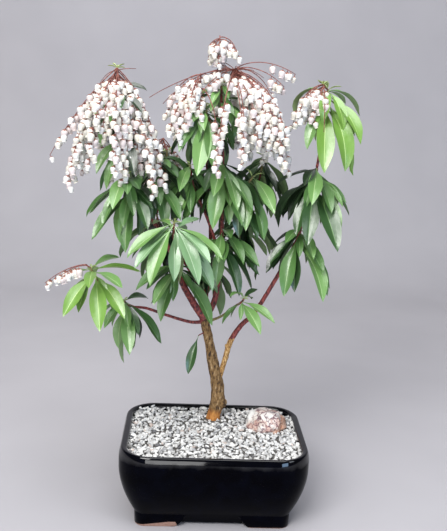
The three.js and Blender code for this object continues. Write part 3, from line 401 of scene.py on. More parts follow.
# Name, colour, and the throw from 0 to 1 below which a chip takes it.
CHIP_TONES = [
    ("chip_grey", (0.62, 0.62, 0.62), 0.42),
    ("chip_white", (0.88, 0.88, 0.87), 0.80),
    ("chip_mid", (0.42, 0.42, 0.43), 0.93),
    ("chip_dark", (0.14, 0.14, 0.15), 0.97),
    ("chip_pink", (0.62, 0.53, 0.49), 1.01),
]
CHIP_SHADES = (0.72, 1.25)
LIGHTEST = 0.95
TRUNK_FOOT_PLACE = (PLANT_SHIFT[0] + 1.0, PLANT_SHIFT[1] + 43.0)
TRUNK_FOOT_CLEAR = 7.5
HOLLOW_BY_TRUNK = 13.5
KEPT_IN_HOLLOW = 0.42
STONE_CLEAR = (20.0, 23.0)

grit = Finish("dark_grit", (0.05, 0.047, 0.045), 0.95)
grit.speckle(grit.grain(700.0, 4.0), [(0.35, (0.03, 0.028, 0.026)), (0.7, (0.20, 0.19, 0.18))], 0.001)
packed_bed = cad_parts["gravel"].data
bed_corners = np.array([tuple(vertex.co) for vertex in packed_bed.vertices]) / MM
bed_sides = [tuple(face.vertices) for face in packed_bed.polygons]
lowered = bed_corners - (0.0, 0.0, BED_LET_DOWN) * (bed_corners[:, 2:] > PACKED_BED_FOOT)
bed = make_object("grit_bed", Pile().add(lowered, bed_sides), [grit], sharp=0)
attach(bed, "root")
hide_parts("gravel")

chip_finishes = []
for name, color, _ in CHIP_TONES:
    chip = Finish(name, color, 0.8)
    darker, lighter = (tuple(min(LIGHTEST, channel * shade) for channel in color) for shade in CHIP_SHADES)
    chip.speckle(chip.grain(1400.0, 3.0, 0.65), [(0.35, darker), (0.65, lighter)], 0.0003, 0.6)
    chip_finishes.append(chip)


def form_of(worked):
    """Vertices and faces of a worked mesh, which is let go."""
    worked.verts.index_update()
    vertices = np.array([tuple(vertex.co) for vertex in worked.verts])
    faces = [tuple(vertex.index for vertex in face.verts) for face in worked.faces]
    worked.free()
    return vertices, faces


rng = np.random.default_rng(CHIP_SEED)
chip_shapes = []
for kind in range(CHIP_KINDS):
    shape = bmesh.new()
    for corner in range(CHIP_CORNERS):
        point = rng.normal(size=3)
        point /= np.linalg.norm(point)
        point *= rng.uniform(*CHIP_REACHES)
        shape.verts.new(point * (1.0, rng.uniform(*CHIP_WIDTHS), CHIP_FLATNESS))
    hull = bmesh.ops.convex_hull(shape, input=shape.verts)
    buried = [entry for entry in hull["geom_interior"] if entry.is_valid]
    bmesh.ops.delete(shape, geom=buried, context="VERTS")
    chip_shapes.append(form_of(shape))

bed_tree = BVHTree.FromPolygons([Vector(corner) for corner in bed_corners], bed_sides)
stone_low, stone_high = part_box("ornamental_stone")
stone_middle = (stone_low + stone_high) / 2 / MM


def chip_height(x, y):
    """Height of the packed gravel at a place in millimetres, or None where no chip lies."""
    hit = bed_tree.ray_cast(Vector((x, y, ABOVE_BED)), Vector((0, 0, -1)))[0]
    from_stone = math.hypot((x - stone_middle.x) / STONE_CLEAR[0], (y - stone_middle.y) / STONE_CLEAR[1])
    from_trunk = math.hypot(x - TRUNK_FOOT_PLACE[0], y - TRUNK_FOOT_PLACE[1])
    if hit is None or hit.z < PACKED_BED_FOOT or from_stone <= 1.0 or from_trunk <= TRUNK_FOOT_CLEAR:
        return None
    if from_trunk < HOLLOW_BY_TRUNK and rng.random() > KEPT_IN_HOLLOW:
        return None
    return hit.z


chip_pile = Pile()
half_length = POT_LENGTH / 2 - CHIPS_SHORT_OF_SIDE
half_width = POT_WIDTH / 2 - CHIPS_SHORT_OF_SIDE
for share_kept, lift in CHIP_LAYERS:
    for x in np.arange(-half_length, half_length, CHIP_SPACING):
        for y in np.arange(-half_width, half_width, CHIP_SPACING):
            if rng.random() > share_kept:
                continue
            place_x = x + rng.uniform(-CHIP_STRAY, CHIP_STRAY) + PLANT_SHIFT[0]
            place_y = y + rng.uniform(-CHIP_STRAY, CHIP_STRAY) + PLANT_SHIFT[1]
            height = chip_height(place_x, place_y)
            if height is None:
                continue
            corners, chip_sides = chip_shapes[rng.integers(CHIP_KINDS)]
            size = rng.uniform(*CHIP_SIZES)
            tilt = Matrix.Rotation(rng.normal() * CHIP_TILT, 3, "X")
            tilt = tilt @ Matrix.Rotation(rng.uniform(0, 2 * math.pi), 3, "Z")
            turned = corners @ np.array(tilt).T * size
            toward_back = max(0.0, y / half_width - HEAP_START) / (1 - HEAP_START)
            toward_end = max(0.0, abs(x) / half_length - HEAP_START) / (1 - HEAP_START)
            heaped = HEAPED_AT_WALL * max(toward_back, HEAPED_AT_END * toward_end)
            top = height + heaped + lift + rng.uniform(-CHIP_UNEVEN, CHIP_UNEVEN)
            thrown = rng.random()
            tone = next(index for index, entry in enumerate(CHIP_TONES) if thrown < entry[2])
            chip_pile.add(turned + (place_x, place_y, top - turned[:, 2].max()), chip_sides, tone)

chips = make_object("crushed_stone", chip_pile, chip_finishes, sharp=0)
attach(chips, "root")
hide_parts("gravel")

# Ornamental stone
# A lump of pink and cream jasper with white crystal on its left face and dark purple veins, laid on the
# gravel at the back right and pressed a little into it.

STONE_MIDDLE = (60.0, 25.0, 86.0)
STONE_REACH = (23.5, 26.0, 14.84)
STONE_FOOT = 80.0
STONE_SUBDIVISIONS = 5
# Which way a facet faces, and how far from the middle it cuts a lump of radius 1.
STONE_FACETS = [
    ((-0.8, -0.45, 0.45), 0.78), ((0.15, -0.75, 0.65), 0.86), ((0.9, -0.2, 0.4), 0.85),
    ((0.2, 0.3, 0.93), 0.84), ((-0.35, 0.8, 0.5), 0.85), ((0.6, 0.65, 0.45), 0.86),
    ((-0.95, 0.25, 0.2), 0.86), ((0.55, -0.8, 0.1), 0.9),
]
# Scale, octaves and height of the coarse and the fine unevenness.
STONE_ROUGHNESS = ((2.6, 4, 0.10), (9.0, 3, 0.025))
EDGE_WAVER = 0.02
# Slant, shift to the right and half the softness of the edges of the crystal and of the rust.
CRYSTAL_EDGE = (-0.7, -0.0245, 0.0015)
RUST_EDGE = (-0.9, 0.004, 0.005)
RUST_STRENGTH = 0.6

lump = bmesh.new()
bmesh.ops.create_icosphere(lump, subdivisions=STONE_SUBDIVISIONS, radius=1.0)
for direction, depth in STONE_FACETS:
    direction = Vector(direction).normalized()
    for vertex in lump.verts:
        over = vertex.co.dot(direction) - depth
        if over > 0:
            vertex.co -= direction * over
for vertex in lump.verts:
    rough = 0.0
    for scale, octaves, height in STONE_ROUGHNESS:
        rough += noise.fractal(vertex.co * scale, 1.0, 2.0, octaves) * height
    vertex.co += vertex.co.normalized() * rough
corners, stone_sides = form_of(lump)
corners = corners * STONE_REACH + STONE_MIDDLE
corners[:, 2] = np.maximum(corners[:, 2], STONE_FOOT)

jasper = Finish("pink_jasper", (0.7, 0.5, 0.45), 0.5)
bands = jasper.grain(55.0, 5.0, 0.62)
body_tone = jasper.tone(bands, [
    (0.31, (0.22, 0.11, 0.12)), (0.38, (0.54, 0.35, 0.30)), (0.45, (0.70, 0.62, 0.57)),
    (0.55, (0.76, 0.72, 0.69)), (0.62, (0.58, 0.41, 0.36)), (0.70, (0.80, 0.76, 0.73)),
])
veins = jasper.nodes.new("ShaderNodeTexVoronoi")
veins.feature = "DISTANCE_TO_EDGE"
veins.inputs["Scale"].default_value = 130.0
warped = jasper.nodes.new("ShaderNodeMix")
warped.data_type = "VECTOR"
warped.inputs["Factor"].default_value = 0.02
jasper.link(jasper.place(), warped.inputs["A"])
jasper.link(jasper.grain(90.0, 3.0).node.outputs["Color"], warped.inputs["B"])
jasper.link([entry for entry in warped.outputs if entry.type == "VECTOR"][0], veins.inputs["Vector"])
vein_mask = jasper.tone(veins.outputs["Distance"], [(0.02, (0.0, 0.0, 0.0)), (0.08, (1.0, 1.0, 1.0))])
veined = jasper.mixed(vein_mask, (0.13, 0.05, 0.075), body_tone)
edge_grain = jasper.grain(120.0, 4.0, 0.6)


def right_of(slant, shift, spread):
    """0 left of a slanting, ragged plane near the stone's middle and 1 right of it; distances in metres."""
    leaning = jasper.worked_out("MULTIPLY_ADD", jasper.axis("Z"), slant, jasper.axis("X"))
    ragged = jasper.worked_out("MULTIPLY_ADD", edge_grain, EDGE_WAVER, leaning)
    middle = POT_MIDDLE[0] + (STONE_MIDDLE[0] + slant * STONE_FOOT) * MM + shift + EDGE_WAVER / 2
    return jasper.spread(ragged, (middle - spread, middle + spread), (0.0, 1.0))


crystal = jasper.mixed(right_of(*CRYSTAL_EDGE), (0.80, 0.79, 0.78), veined)
rusted = jasper.mixed(right_of(*RUST_EDGE), crystal, (0.48, 0.20, 0.08))
jasper.color(jasper.mixed(RUST_STRENGTH, crystal, rusted))
jasper.relief(bands, 0.0015)

stone = make_object("jasper_lump", Pile().add(corners, stone_sides), [jasper], shift=PLANT_SHIFT)
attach(stone, "root")
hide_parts("ornamental_stone")

# Trunk
# The old wood: a leaning trunk under flaking golden-brown bark, peeled to orange where it meets the gravel,
# with a knob from an old cut at its right. It tapers from the root flare to the fork.

TRUNK = [
    (0, 43, 76, 8.8), (1, 43, 86, 7.4), (4.5, 43, 103, 7.9), (3.5, 43, 124, 7.3),
    (-2, 42, 147, 6.7), (-7.5, 41, 172, 5.2), (-12, 40.5, 190, 5), (-15, 40, 205, 5.3),
]
TRUNK_START = 0.03
TRUNK_SIDES = 36
TRUNK_STEP = 1.3
KNOB_PLACE = (9, 41.5, 101)
KNOB_RADIUS = 6.2
KNOB_SEGMENTS = (24, 16)
KNOB_RELIEF = 1.3
FINE_STEPS = 240
LEAST_ROWS = 4
LOOK_AHEAD = 0.01
COLLAR_FADE = 5.0
END_PINCH = 0.75
FLAKE_SCALE = (0.34, 0.34, 0.11)
FLAKE_DEPTH = 0.11
CRACK_SCALE = (1.1, 1.1, 0.6)
CRACK_DEPTH = 0.05
LUMP_SCALE = 0.06
LUMP_DEPTH = 0.08
PEELED_HEIGHTS = (0.090, 0.096)


class Limb:
    """A smooth limb through stations of x, y, z and radius, in millimetres from the pot's middle."""

    def __init__(self, stations):
        self.stations = np.array(stations, float)

    def point(self, along):
        """The point at a share of the way from its first station to its last."""
        points = self.stations[:, :3]
        last = len(points) - 1
        place = along * last
        span = min(int(place), last - 1)
        share = place - span
        p1 = points[span]
        p2 = points[span + 1]
        p0 = points[span - 1] if span > 0 else 2 * points[0] - points[1]
        p3 = points[span + 2] if span + 2 <= last else 2 * points[last] - points[last - 1]
        leave = 0.5 * (p2 - p0)
        arrive = 0.5 * (p3 - p1)
        return (p1 + leave * share + (3 * (p2 - p1) - 2 * leave - arrive) * share ** 2
                + (2 * (p1 - p2) + leave + arrive) * share ** 3)

    def radius(self, along):
        """The radius at the same share."""
        last = len(self.stations) - 1
        return float(np.interp(along * last, np.arange(last + 1), self.stations[:, 3]))


def skin(middles, ways, radii, sides, beside_first, relief=None):
    """Vertices and faces of a round skin about a line, from its points and its ways and radii there."""
    rings = []
    normal = None
    for middle, way, radius in zip(middles, ways, radii):
        tangent = way / np.linalg.norm(way)
        if normal is None:
            normal = np.cross(tangent, beside_first)
        normal = normal - tangent * np.dot(normal, tangent)
        normal /= np.linalg.norm(normal)
        beside = np.cross(tangent, normal)
        ring = []
        for side in range(sides):
            turn = 2 * math.pi * side / sides
            outward = normal * math.cos(turn) + beside * math.sin(turn)
            surface = middle + outward * radius
            ring.append(surface + outward * relief(surface, radius) if relief else surface)
        rings.append(ring)
    return loft(rings)


def skin_limb(limb, sides, step, relief, collar=0.0, start=0.0):
    """Vertices and faces of a limb's bark, with a ring at every step in millimetres."""
    fine = np.array([limb.point(share) for share in np.linspace(start, 1.0, FINE_STEPS)])
    travelled = np.concatenate([[0.0], np.cumsum(np.linalg.norm(np.diff(fine, axis=0), axis=1))])
    shares = np.linspace(0.0, 1.0, FINE_STEPS)
    rows = max(LEAST_ROWS, int(travelled[-1] / step))
    middles = []
    ways = []
    radii = []
    for row in range(rows + 1):
        distance = travelled[-1] * row / rows
        along = start + (1.0 - start) * float(np.interp(distance, travelled, shares))
        middles.append(limb.point(along))
        ways.append(limb.point(min(1.0, along + LOOK_AHEAD)) - limb.point(max(0.0, along - LOOK_AHEAD)))
        radii.append(limb.radius(along) * (1.0 + collar * math.exp(-distance / COLLAR_FADE)))
    radii[-1] *= END_PINCH
    return skin(middles, ways, radii, sides, (0.0, 1.0, 0.0), relief)


def old_bark(surface, radius):
    """Relief of long flakes and cracks that run up the trunk."""
    flakes = noise.fractal(Vector(surface * FLAKE_SCALE), 1.0, 2.0, 4)
    cracks = noise.noise(Vector(surface * CRACK_SCALE))
    lumps = noise.noise(Vector(surface * LUMP_SCALE))
    return radius * (FLAKE_DEPTH * flakes + CRACK_DEPTH * cracks + LUMP_DEPTH * lumps)


trunk_limb = Limb(TRUNK)
trunk_pile = Pile().add(*skin_limb(trunk_limb, TRUNK_SIDES, TRUNK_STEP, old_bark, start=TRUNK_START))
knob = bmesh.new()
bmesh.ops.create_uvsphere(knob, u_segments=KNOB_SEGMENTS[0], v_segments=KNOB_SEGMENTS[1], radius=1.0)
knob_outward, knob_sides = form_of(knob)
knob_skin = []
for outward in knob_outward:
    surface = KNOB_PLACE + outward * KNOB_RADIUS
    knob_skin.append(surface + outward * old_bark(surface, KNOB_RADIUS) * KNOB_RELIEF)
trunk_pile.add(knob_skin, knob_sides)

bark = Finish("flaking_bark", (0.3, 0.18, 0.08), 0.85)
flecks = bark.grain(360.0, 6.0, 0.7, (1.0, 1.0, 0.4))
bark_tone = bark.tone(flecks, [
    (0.37, (0.020, 0.010, 0.006)), (0.44, (0.110, 0.056, 0.020)), (0.52, (0.23, 0.132, 0.048)),
    (0.61, (0.34, 0.215, 0.098)), (0.67, (0.52, 0.41, 0.27)),
])
peel_grain = bark.grain(300.0, 3.0, 0.5, (1.0, 1.0, 0.3))
peel_tone = bark.tone(peel_grain, [(0.35, (0.30, 0.10, 0.02)), (0.7, (0.62, 0.28, 0.07))])
bark.color(bark.mixed(bark.above(*PEELED_HEIGHTS), peel_tone, bark_tone))
bark.relief(flecks, 0.0016)

trunk = make_object("trunk_bark", trunk_pile, [bark], shift=PLANT_SHIFT)
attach(trunk, "root")
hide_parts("trunk")

# Boughs and shoots
# Younger wood that springs from the trunk and forks on: dark red and smooth, flecked with black, the right
# bough tan for its first third. Every entry below grows `from` the tip of an earlier one, or `at` a share
# of its length; a bough has stations of x, y, z and radius, and a shoot arcs up to its tip.

GROWTH = {
    "bough_right": {
        "from": "trunk", "at": 0.43, "foot": 3,
        "stations": [
            (10.5, 41.5, 152, 3.1), (16, 40, 176, 3.3), (27, 38.5, 196, 2.7), (43, 36, 215, 2.5),
            (69, 30, 267, 2.2), (80, 25, 294, 2),
        ],
    },
    "leaves_right_low": {
        "from": "bough_right", "tip": (85, 22, 313),
        "leaves": 7, "length": 54, "turn": 285, "leafy": 18, "rise": -36, "droop": 36,
        "shown": [
            (63, -12, 302), (49, 15, 263), (104, -19, 272), (67, -3, 242), (110, -16, 247),
            (124, 34, 243), (110, -31, 241),
        ],
    },
    "bough_right_middle": {
        "from": "leaves_right_low", "foot": 1.7,
        "stations": [(91, 19, 340, 1.6), (95, 17, 358, 1.5)],
    },
    "leaves_right_middle": {
        "from": "bough_right_middle", "tip": (97, 16, 380),
        "leaves": 7, "length": 60, "turn": 262, "leafy": 20, "rise": -38, "droop": 36,
        "shown": [
            (77, -20, 363), (60, 49, 357), (110, -20, 336), (69, 12, 322), (139, 29, 327),
            (122, -15, 310), (86, -23, 302), (54, 11, 308), (114, -36, 299),
        ],
    },
    "bough_right_upper": {
        "from": "leaves_right_middle", "foot": 1.5,
        "stations": [(100, 12, 415, 1.5), (101, 9, 438, 1.4)],
    },
    "leaves_right_top": {
        "from": "bough_right_upper", "tip": (101, 8, 460),
        "leaves": 6, "length": 62, "turn": 40, "leafy": 20, "rise": -10, "droop": 74,
        "shown": [
            (126, 34, 446), (129, -14, 415), (95, -19, 419), (65, 29, 417), (118, -25, 401),
            (94, -32, 378), (136, 19, 372), (117, -34, 372),
        ],
    },
    "bough_centre": {
        "from": "trunk", "at": 0.98, "foot": 3.6,
        "stations": [(-5, 42, 220, 3.3), (-1, 38, 249, 3), (0, 32, 286, 2.6)],
    },
    "leaves_centre_low": {
        "from": "bough_centre", "tip": (0, 28, 308),
        "leaves": 8, "length": 56, "turn": 300, "leafy": 18, "rise": -34, "droop": 38,
        "shown": [(8, -18, 306), (42, 1, 273), (-27, -17, 279), (19, 8, 237), (37, 36, 238)],
    },
    "bough_centre_middle": {
        "from": "leaves_centre_low", "foot": 2,
        "stations": [(-1, 22, 338, 1.9), (-2, 17, 360, 1.8)],
    },
    "leaves_centre_right": {
        "from": "bough_centre_middle", "at": 0.5, "tip": (30, 22, 366),
        "leaves": 11, "length": 58, "turn": 300, "leafy": 18, "rise": -32, "droop": 42,
    },
    "leaves_centre_middle": {
        "from": "bough_centre_middle", "tip": (-3, 14, 384),
        "leaves": 8, "length": 60, "turn": 258, "leafy": 20, "rise": -34, "droop": 38,
        "shown": [
            (-23, -16, 352), (13, -15, 334), (-9, -11, 313), (39, 2, 323), (-42, 4, 314),
            (17, -13, 318), (35, -2, 301),
        ],
    },
    "bough_centre_upper": {
        "from": "leaves_centre_middle", "foot": 1.6,
        "stations": [(-5, 11, 412, 1.6), (-7, 9, 434, 1.5)],
    },
    "leaves_centre_high": {
        "from": "bough_centre_upper", "at": 0.5, "tip": (-28, 0, 436),
        "leaves": 6, "length": 50, "turn": 200, "leafy": 16, "rise": -20, "droop": 56,
        "shown": [
            (-25, -27, 414), (-47, -29, 392), (-59, 25, 384), (-11, -41, 379), (-29, -47, 371),
            (4, 21, 388),
        ],
    },
    "leaves_centre_top": {
        "from": "bough_centre_upper", "tip": (-8, 8, 461),
        "leaves": 6, "length": 42, "turn": 20, "leafy": 20, "rise": -14, "droop": 60,
        "shown": [(0, -16, 446), (-19, -15, 433), (31, -13, 440), (13, -27, 420)],
    },
    "bough_left": {
        "from": "trunk", "at": 0.97, "foot": 4.2,
        "stations": [(-26, 38, 218, 3.9), (-38, 32, 239, 3.5), (-46, 22, 258, 3)],
    },
    "bough_front_left": {
        "from": "bough_left", "at": 0.85, "foot": 2,
        "stations": [(-49, -8, 284, 1.9), (-51, -26, 304, 1.7)],
    },
    "leaves_front_left": {
        "from": "bough_front_left", "tip": (-51, -34, 323),
        "leaves": 5, "length": 56, "turn": 80, "leafy": 10, "rise": -30, "droop": 44,
        "shown": [
            (-95, -54, 288), (-73, -63, 263), (-25, -67, 267), (0, -54, 291), (-13, -68, 290),
            (-86, -63, 280), (-76, 4, 314), (-11, -49, 256), (-23, -1, 322), (-44, -20, 255),
        ],
    },
    "leaves_left_inner": {
        "from": "bough_left", "tip": (-48, 14, 271),
        "leaves": 7, "length": 52, "turn": 100, "leafy": 14, "rise": -30, "droop": 44,
        "shown": [(-89, -18, 247), (-2, -21, 245), (-68, -20, 232), (-6, -4, 208), (-61, -5, 206)],
    },
    "bough_left_middle": {
        "from": "leaves_left_inner", "foot": 2.4,
        "stations": [(-66, 6, 305, 2.2), (-90, 0, 342, 1.9)],
    },
    "leaves_left_side": {
        "from": "bough_left_middle", "at": 0.72, "tip": (-72, 18, 380),
        "leaves": 9, "length": 54, "turn": 290, "leafy": 18, "rise": -30, "droop": 44,
        "shown": [(-57, -16, 375), (-33, 8, 346), (-68, -13, 336), (-45, -11, 321)],
    },
    "leaves_left_low": {
        "from": "bough_left_middle", "tip": (-102, -5, 366),
        "leaves": 8, "length": 58, "turn": 262, "leafy": 20, "rise": -34, "droop": 40,
        "shown": [
            (-97, -44, 350), (-83, -46, 356), (-125, -27, 315), (-141, 12, 321), (-77, -36, 314),
            (-102, -20, 287), (-135, -28, 301),
        ],
    },
    "leaves_left_top": {
        "from": "leaves_left_low", "tip": (-114, 6, 456), "whorls": (0.5, 1),
        "leaves": 18, "length": 52, "turn": 300, "leafy": 22, "rise": -28, "droop": 50,
    },
    "bough_inner_left": {
        "from": "bough_centre", "at": 0.9, "foot": 1.8,
        "stations": [(-16, 26, 318, 1.7), (-32, 25, 350, 1.5)],
    },
    "leaves_inner_left": {
        "from": "bough_inner_left", "tip": (-37, 22, 376),
        "leaves": 11, "length": 52, "turn": 250, "leafy": 18, "rise": -30, "droop": 46,
    },
    "bough_low_left": {
        "from": "trunk", "at": 0.94, "foot": 2,
        "stations": [
            (-30, 36, 199, 1.8), (-56, 28, 208, 1.6), (-78, 18, 218, 1.5), (-92, 12, 221, 1.4),
        ],
    },
    "leaves_low_left": {
        "from": "bough_low_left", "tip": (-103, 4, 230),
        "leaves": 4, "length": 50, "turn": 160, "leafy": 8, "rise": -30, "droop": 46,
        "shown": [(-77, 43, 222), (-60, -7, 187), (-95, -32, 181), (-92, 20, 169), (-104, 17, 154)],
    },
    "leaves_low_left_tip": {
        "from": "leaves_low_left", "tip": (-136, -16, 269),
        "leaves": 3, "length": 46, "turn": 100, "leafy": 12, "rise": -24, "droop": 50,
        "shown": [
            (-108, 25, 272), (-86, 8, 262), (-132, -63, 259), (-99, -48, 257), (-160, 9, 227),
            (-159, -55, 227), (-121, -64, 215), (-97, -49, 225),
        ],
    },
    "bough_low_right": {
        "from": "trunk", "at": 0.93, "foot": 1.6,
        "stations": [(4, 32, 208, 1.4), (20, 20, 225, 1.3)],
    },
    "leaves_low_right": {
        "from": "bough_low_right", "tip": (27, 14, 234),
        "leaves": 2, "length": 34, "turn": 60, "leafy": 6, "rise": -10, "droop": 46,
        "shown": [(9, -7, 241), (43, 40, 239), (60, -13, 215), (44, -26, 206)],
    },
    "leaf_on_trunk": {
        "from": "trunk", "at": 0.83, "tip": (-21, 33, 184),
        "leaves": 0, "length": 42, "turn": 215, "leafy": 2, "rise": -34, "droop": 66,
        "shown": [(-29, 18, 143)],
    },
    "bough_back": {
        "from": "trunk", "at": 0.96, "foot": 3.2,
        "stations": [(-14, 54, 222, 2.9), (-11, 62, 250, 2.5)],
    },
    "leaves_back_low": {
        "from": "bough_back", "tip": (-10, 68, 270),
        "leaves": 12, "length": 58, "turn": 90, "leafy": 18, "rise": -32, "droop": 44,
    },
    "bough_back_upper": {
        "from": "leaves_back_low", "foot": 2,
        "stations": [(-12, 70, 310, 1.9), (-16, 69, 352, 1.7)],
    },
    "leaves_back_high": {
        "from": "bough_back_upper", "tip": (-22, 66, 438), "whorls": (0.3, 1),
        "leaves": 22, "length": 58, "turn": 60, "leafy": 20, "rise": -28, "droop": 52,
    },
    "bough_back_right": {
        "from": "bough_back", "at": 0.8, "foot": 2.1,
        "stations": [(8, 68, 270, 2), (24, 70, 296, 1.7)],
    },
    "leaves_back_right": {
        "from": "bough_back_right", "tip": (32, 67, 319),
        "leaves": 12, "length": 60, "turn": 40, "leafy": 20, "rise": -32, "droop": 44,
    },
    "leaves_back_right_high": {
        "from": "leaves_back_right", "tip": (44, 62, 386),
        "leaves": 12, "length": 58, "turn": 100, "leafy": 20, "rise": -30, "droop": 48,
    },
    "bough_back_left": {
        "from": "bough_back", "at": 0.5, "foot": 2.1,
        "stations": [(-36, 66, 256, 2), (-62, 70, 290, 1.7)],
    },
    "leaves_back_left": {
        "from": "bough_back_left", "tip": (-73, 72, 314),
        "leaves": 12, "length": 60, "turn": 120, "leafy": 20, "rise": -32, "droop": 44,
    },
    "leaves_back_left_high": {
        "from": "leaves_back_left", "tip": (-63, 70, 386),
        "leaves": 12, "length": 58, "turn": 80, "leafy": 20, "rise": -30, "droop": 48,
    },
    "blossom_left": {
        "from": "leaves_left_top", "tip": (-114, 4, 472),
        "racemes": 13, "reach": 132, "fan": (-20, 340), "rise": -34, "fall": -84,
        "strays": [(190, -38, -62, 112), (186, -50, -74, 146)],
    },
    "blossom_low_left": {
        "from": "leaves_low_left_tip", "tip": (-140, -18, 273),
        "racemes": 2, "reach": 56, "fan": (178, 198), "rise": 8, "fall": -42,
    },
    "blossom_centre": {
        "from": "leaves_centre_top", "tip": (5, 6, 476),
        "racemes": 10, "reach": 122, "fan": (-115, 75), "rise": -10, "fall": -84,
        "strays": [
            (2, 50, -30, 66), (184, 14, -50, 84), (204, 2, -74, 78), (166, 4, -78, 74),
            (112, -8, -84, 90),
        ],
    },
    "blossom_top": {
        "from": "leaves_centre_top", "at": 0.7, "tip": (-12, 8, 508),
        "racemes": 5, "reach": 32, "fan": (-60, 300), "rise": 16, "fall": -78,
    },
    "blossom_centre_left": {
        "from": "leaves_centre_high", "tip": (-30, 0, 470),
        "racemes": 7, "reach": 64, "fan": (110, 300), "rise": 0, "fall": -82,
    },
    "blossom_right": {
        "from": "leaves_right_top", "tip": (95, 2, 465),
        "racemes": 6, "reach": 58, "fan": (130, 320), "rise": -6, "fall": -84,
    },
    "blossom_back": {
        "from": "leaves_back_high", "tip": (-26, 62, 456),
        "racemes": 6, "reach": 74, "fan": (10, 200), "rise": -6, "fall": -84,
    },
    "blossom_back_left": {
        "from": "leaves_back_left_high", "tip": (-68, 76, 400),
        "racemes": 6, "reach": 74, "fan": (30, 230), "rise": -20, "fall": -82,
    },
}
TAN_SHARE = 0.29
TAN_WAVER = 0.05
OLIVE_TWIG = "bough_low_right"
STUB_SHARE = 0.27
STUB_STATIONS = [((0.6, 0.0, -1.0), 2.4), ((-1.2, -0.8, 2.6), 2.2), ((-2.4, -1.4, 5.6), 1.7)]
STUB_STEP = 1.2
SHOOT_BEND = (0.7, 0.7, 0.4)
BOUGH_SIDES = 14
SHOOT_SIDES = 10
YOUNG_STEP = 1.8
BOUGH_COLLAR = 0.35
FLOWER_STALK_RADII = (1.0, 0.6)
LEAF_STALK_RADII = (0.9, 0.55)
THICKEST_SHOOT = 2.6
SIDE_SHOOT_FOOT = 1.4
SHOOT_TIP = 1.1
GREEN_FROM = 0.75
GREEN_WAVER = 0.1
TONE_GRAIN = 0.2
BUMP_SCALE = 0.35
BUMP_DEPTH = 0.10
SCAR_SCALE = 1.3
SCAR_DEPTH = 0.04


class Shoot:
    """A shoot that leaves its carrier outwards and arcs up to its tip, with its two radii, in millimetres."""

    def __init__(self, start, tip, radii):
        self.start = np.asarray(start, float)
        self.tip = np.asarray(tip, float)
        self.bend = self.start + (self.tip - self.start) * SHOOT_BEND
        self.radii = radii

    def point(self, along):
        """The point at a share of the way to its tip."""
        return (1 - along) ** 2 * self.start + 2 * along * (1 - along) * self.bend + along ** 2 * self.tip

    def radius(self, along):
        """The radius at the same share."""
        return self.radii[0] + (self.radii[1] - self.radii[0]) * along


carried_on = {}
for entry in GROWTH.values():
    if "foot" in entry and "at" not in entry:
        carried_on[entry["from"]] = entry["foot"]
limbs = {"trunk": trunk_limb}
for name, entry in GROWTH.items():
    carrier = limbs[entry["from"]]
    start = carrier.point(entry.get("at", 1.0))
    if "stations" in entry:
        limbs[name] = Limb([(*start, entry["foot"])] + entry["stations"])
    elif "racemes" in entry:
        limbs[name] = Shoot(start, entry["tip"], FLOWER_STALK_RADII)
    else:
        foot_radius = SIDE_SHOOT_FOOT if "at" in entry else min(carrier.radius(1.0), THICKEST_SHOOT)
        limbs[name] = Shoot(start, entry["tip"], (foot_radius, carried_on.get(name, SHOOT_TIP)))


def young_bark(surface, radius):
    """Relief of faint rings, buds and leaf scars on young wood."""
    bumps = noise.noise(Vector(surface * BUMP_SCALE))
    scars = noise.noise(Vector(surface * SCAR_SCALE))
    return radius * (BUMP_DEPTH * bumps + SCAR_DEPTH * scars)


def ragged_shares(vertices, faces, waver):
    """How far along its limb each face lies, from 0 to 1, unevenly, so that a change of tone is ragged."""
    shares = []
    for foot in map(min, faces):
        shares.append(foot / len(vertices) + waver * noise.noise(Vector(vertices[foot]) * TONE_GRAIN))
    return shares


young = Finish("red_bark", (0.16, 0.03, 0.02), 0.55)
young_stops = [
    (0.36, (0.012, 0.006, 0.005)), (0.46, (0.14, 0.018, 0.020)), (0.60, (0.27, 0.050, 0.042)),
    (0.75, (0.36, 0.15, 0.09)),
]
young.speckle(young.grain(420.0, 4.0, 0.6, (1.0, 1.0, 0.6)), young_stops, 0.0006, 0.8)
tan = Finish("tan_bark", (0.4, 0.24, 0.11), 0.75)
tan_stops = [
    (0.35, (0.05, 0.022, 0.012)), (0.43, (0.26, 0.13, 0.04)), (0.53, (0.50, 0.28, 0.09)),
    (0.64, (0.66, 0.48, 0.24)),
]
tan.speckle(tan.grain(560.0, 5.0, 0.66, (1.0, 1.0, 0.55)), tan_stops, 0.0008, 0.9)
green_wood = Finish("green_shoot", (0.2, 0.2, 0.06), 0.5)
green_wood.speckle(green_wood.grain(350.0), [(0.4, (0.13, 0.14, 0.04)), (0.7, (0.30, 0.20, 0.09))])

# Tone 0 is red bark, 1 is tan on boughs and green on shoots, and 2 is the green wood of a bough.
bough_pile = Pile()
shoot_pile = Pile()
for name, entry in GROWTH.items():
    if "stations" in entry:
        collar = BOUGH_COLLAR if "at" in entry else 0.0
        vertices, faces = skin_limb(limbs[name], BOUGH_SIDES, YOUNG_STEP, young_bark, collar)
        tones = 2 if name == OLIVE_TWIG else 0
        if name == "bough_right":
            tones = [int(share < TAN_SHARE) for share in ragged_shares(vertices, faces, TAN_WAVER)]
        bough_pile.add(vertices, faces, tones)
    elif "leaves" in entry:
        limb = limbs[name]
        if name == "leaf_on_trunk":
            limb = Shoot(limb.start, limb.tip, LEAF_STALK_RADII)
        vertices, faces = skin_limb(limb, SHOOT_SIDES, YOUNG_STEP, young_bark)
        tones = 0
        if name not in carried_on:
            tones = [int(share > GREEN_FROM) for share in ragged_shares(vertices, faces, GREEN_WAVER)]
        shoot_pile.add(vertices, faces, tones)

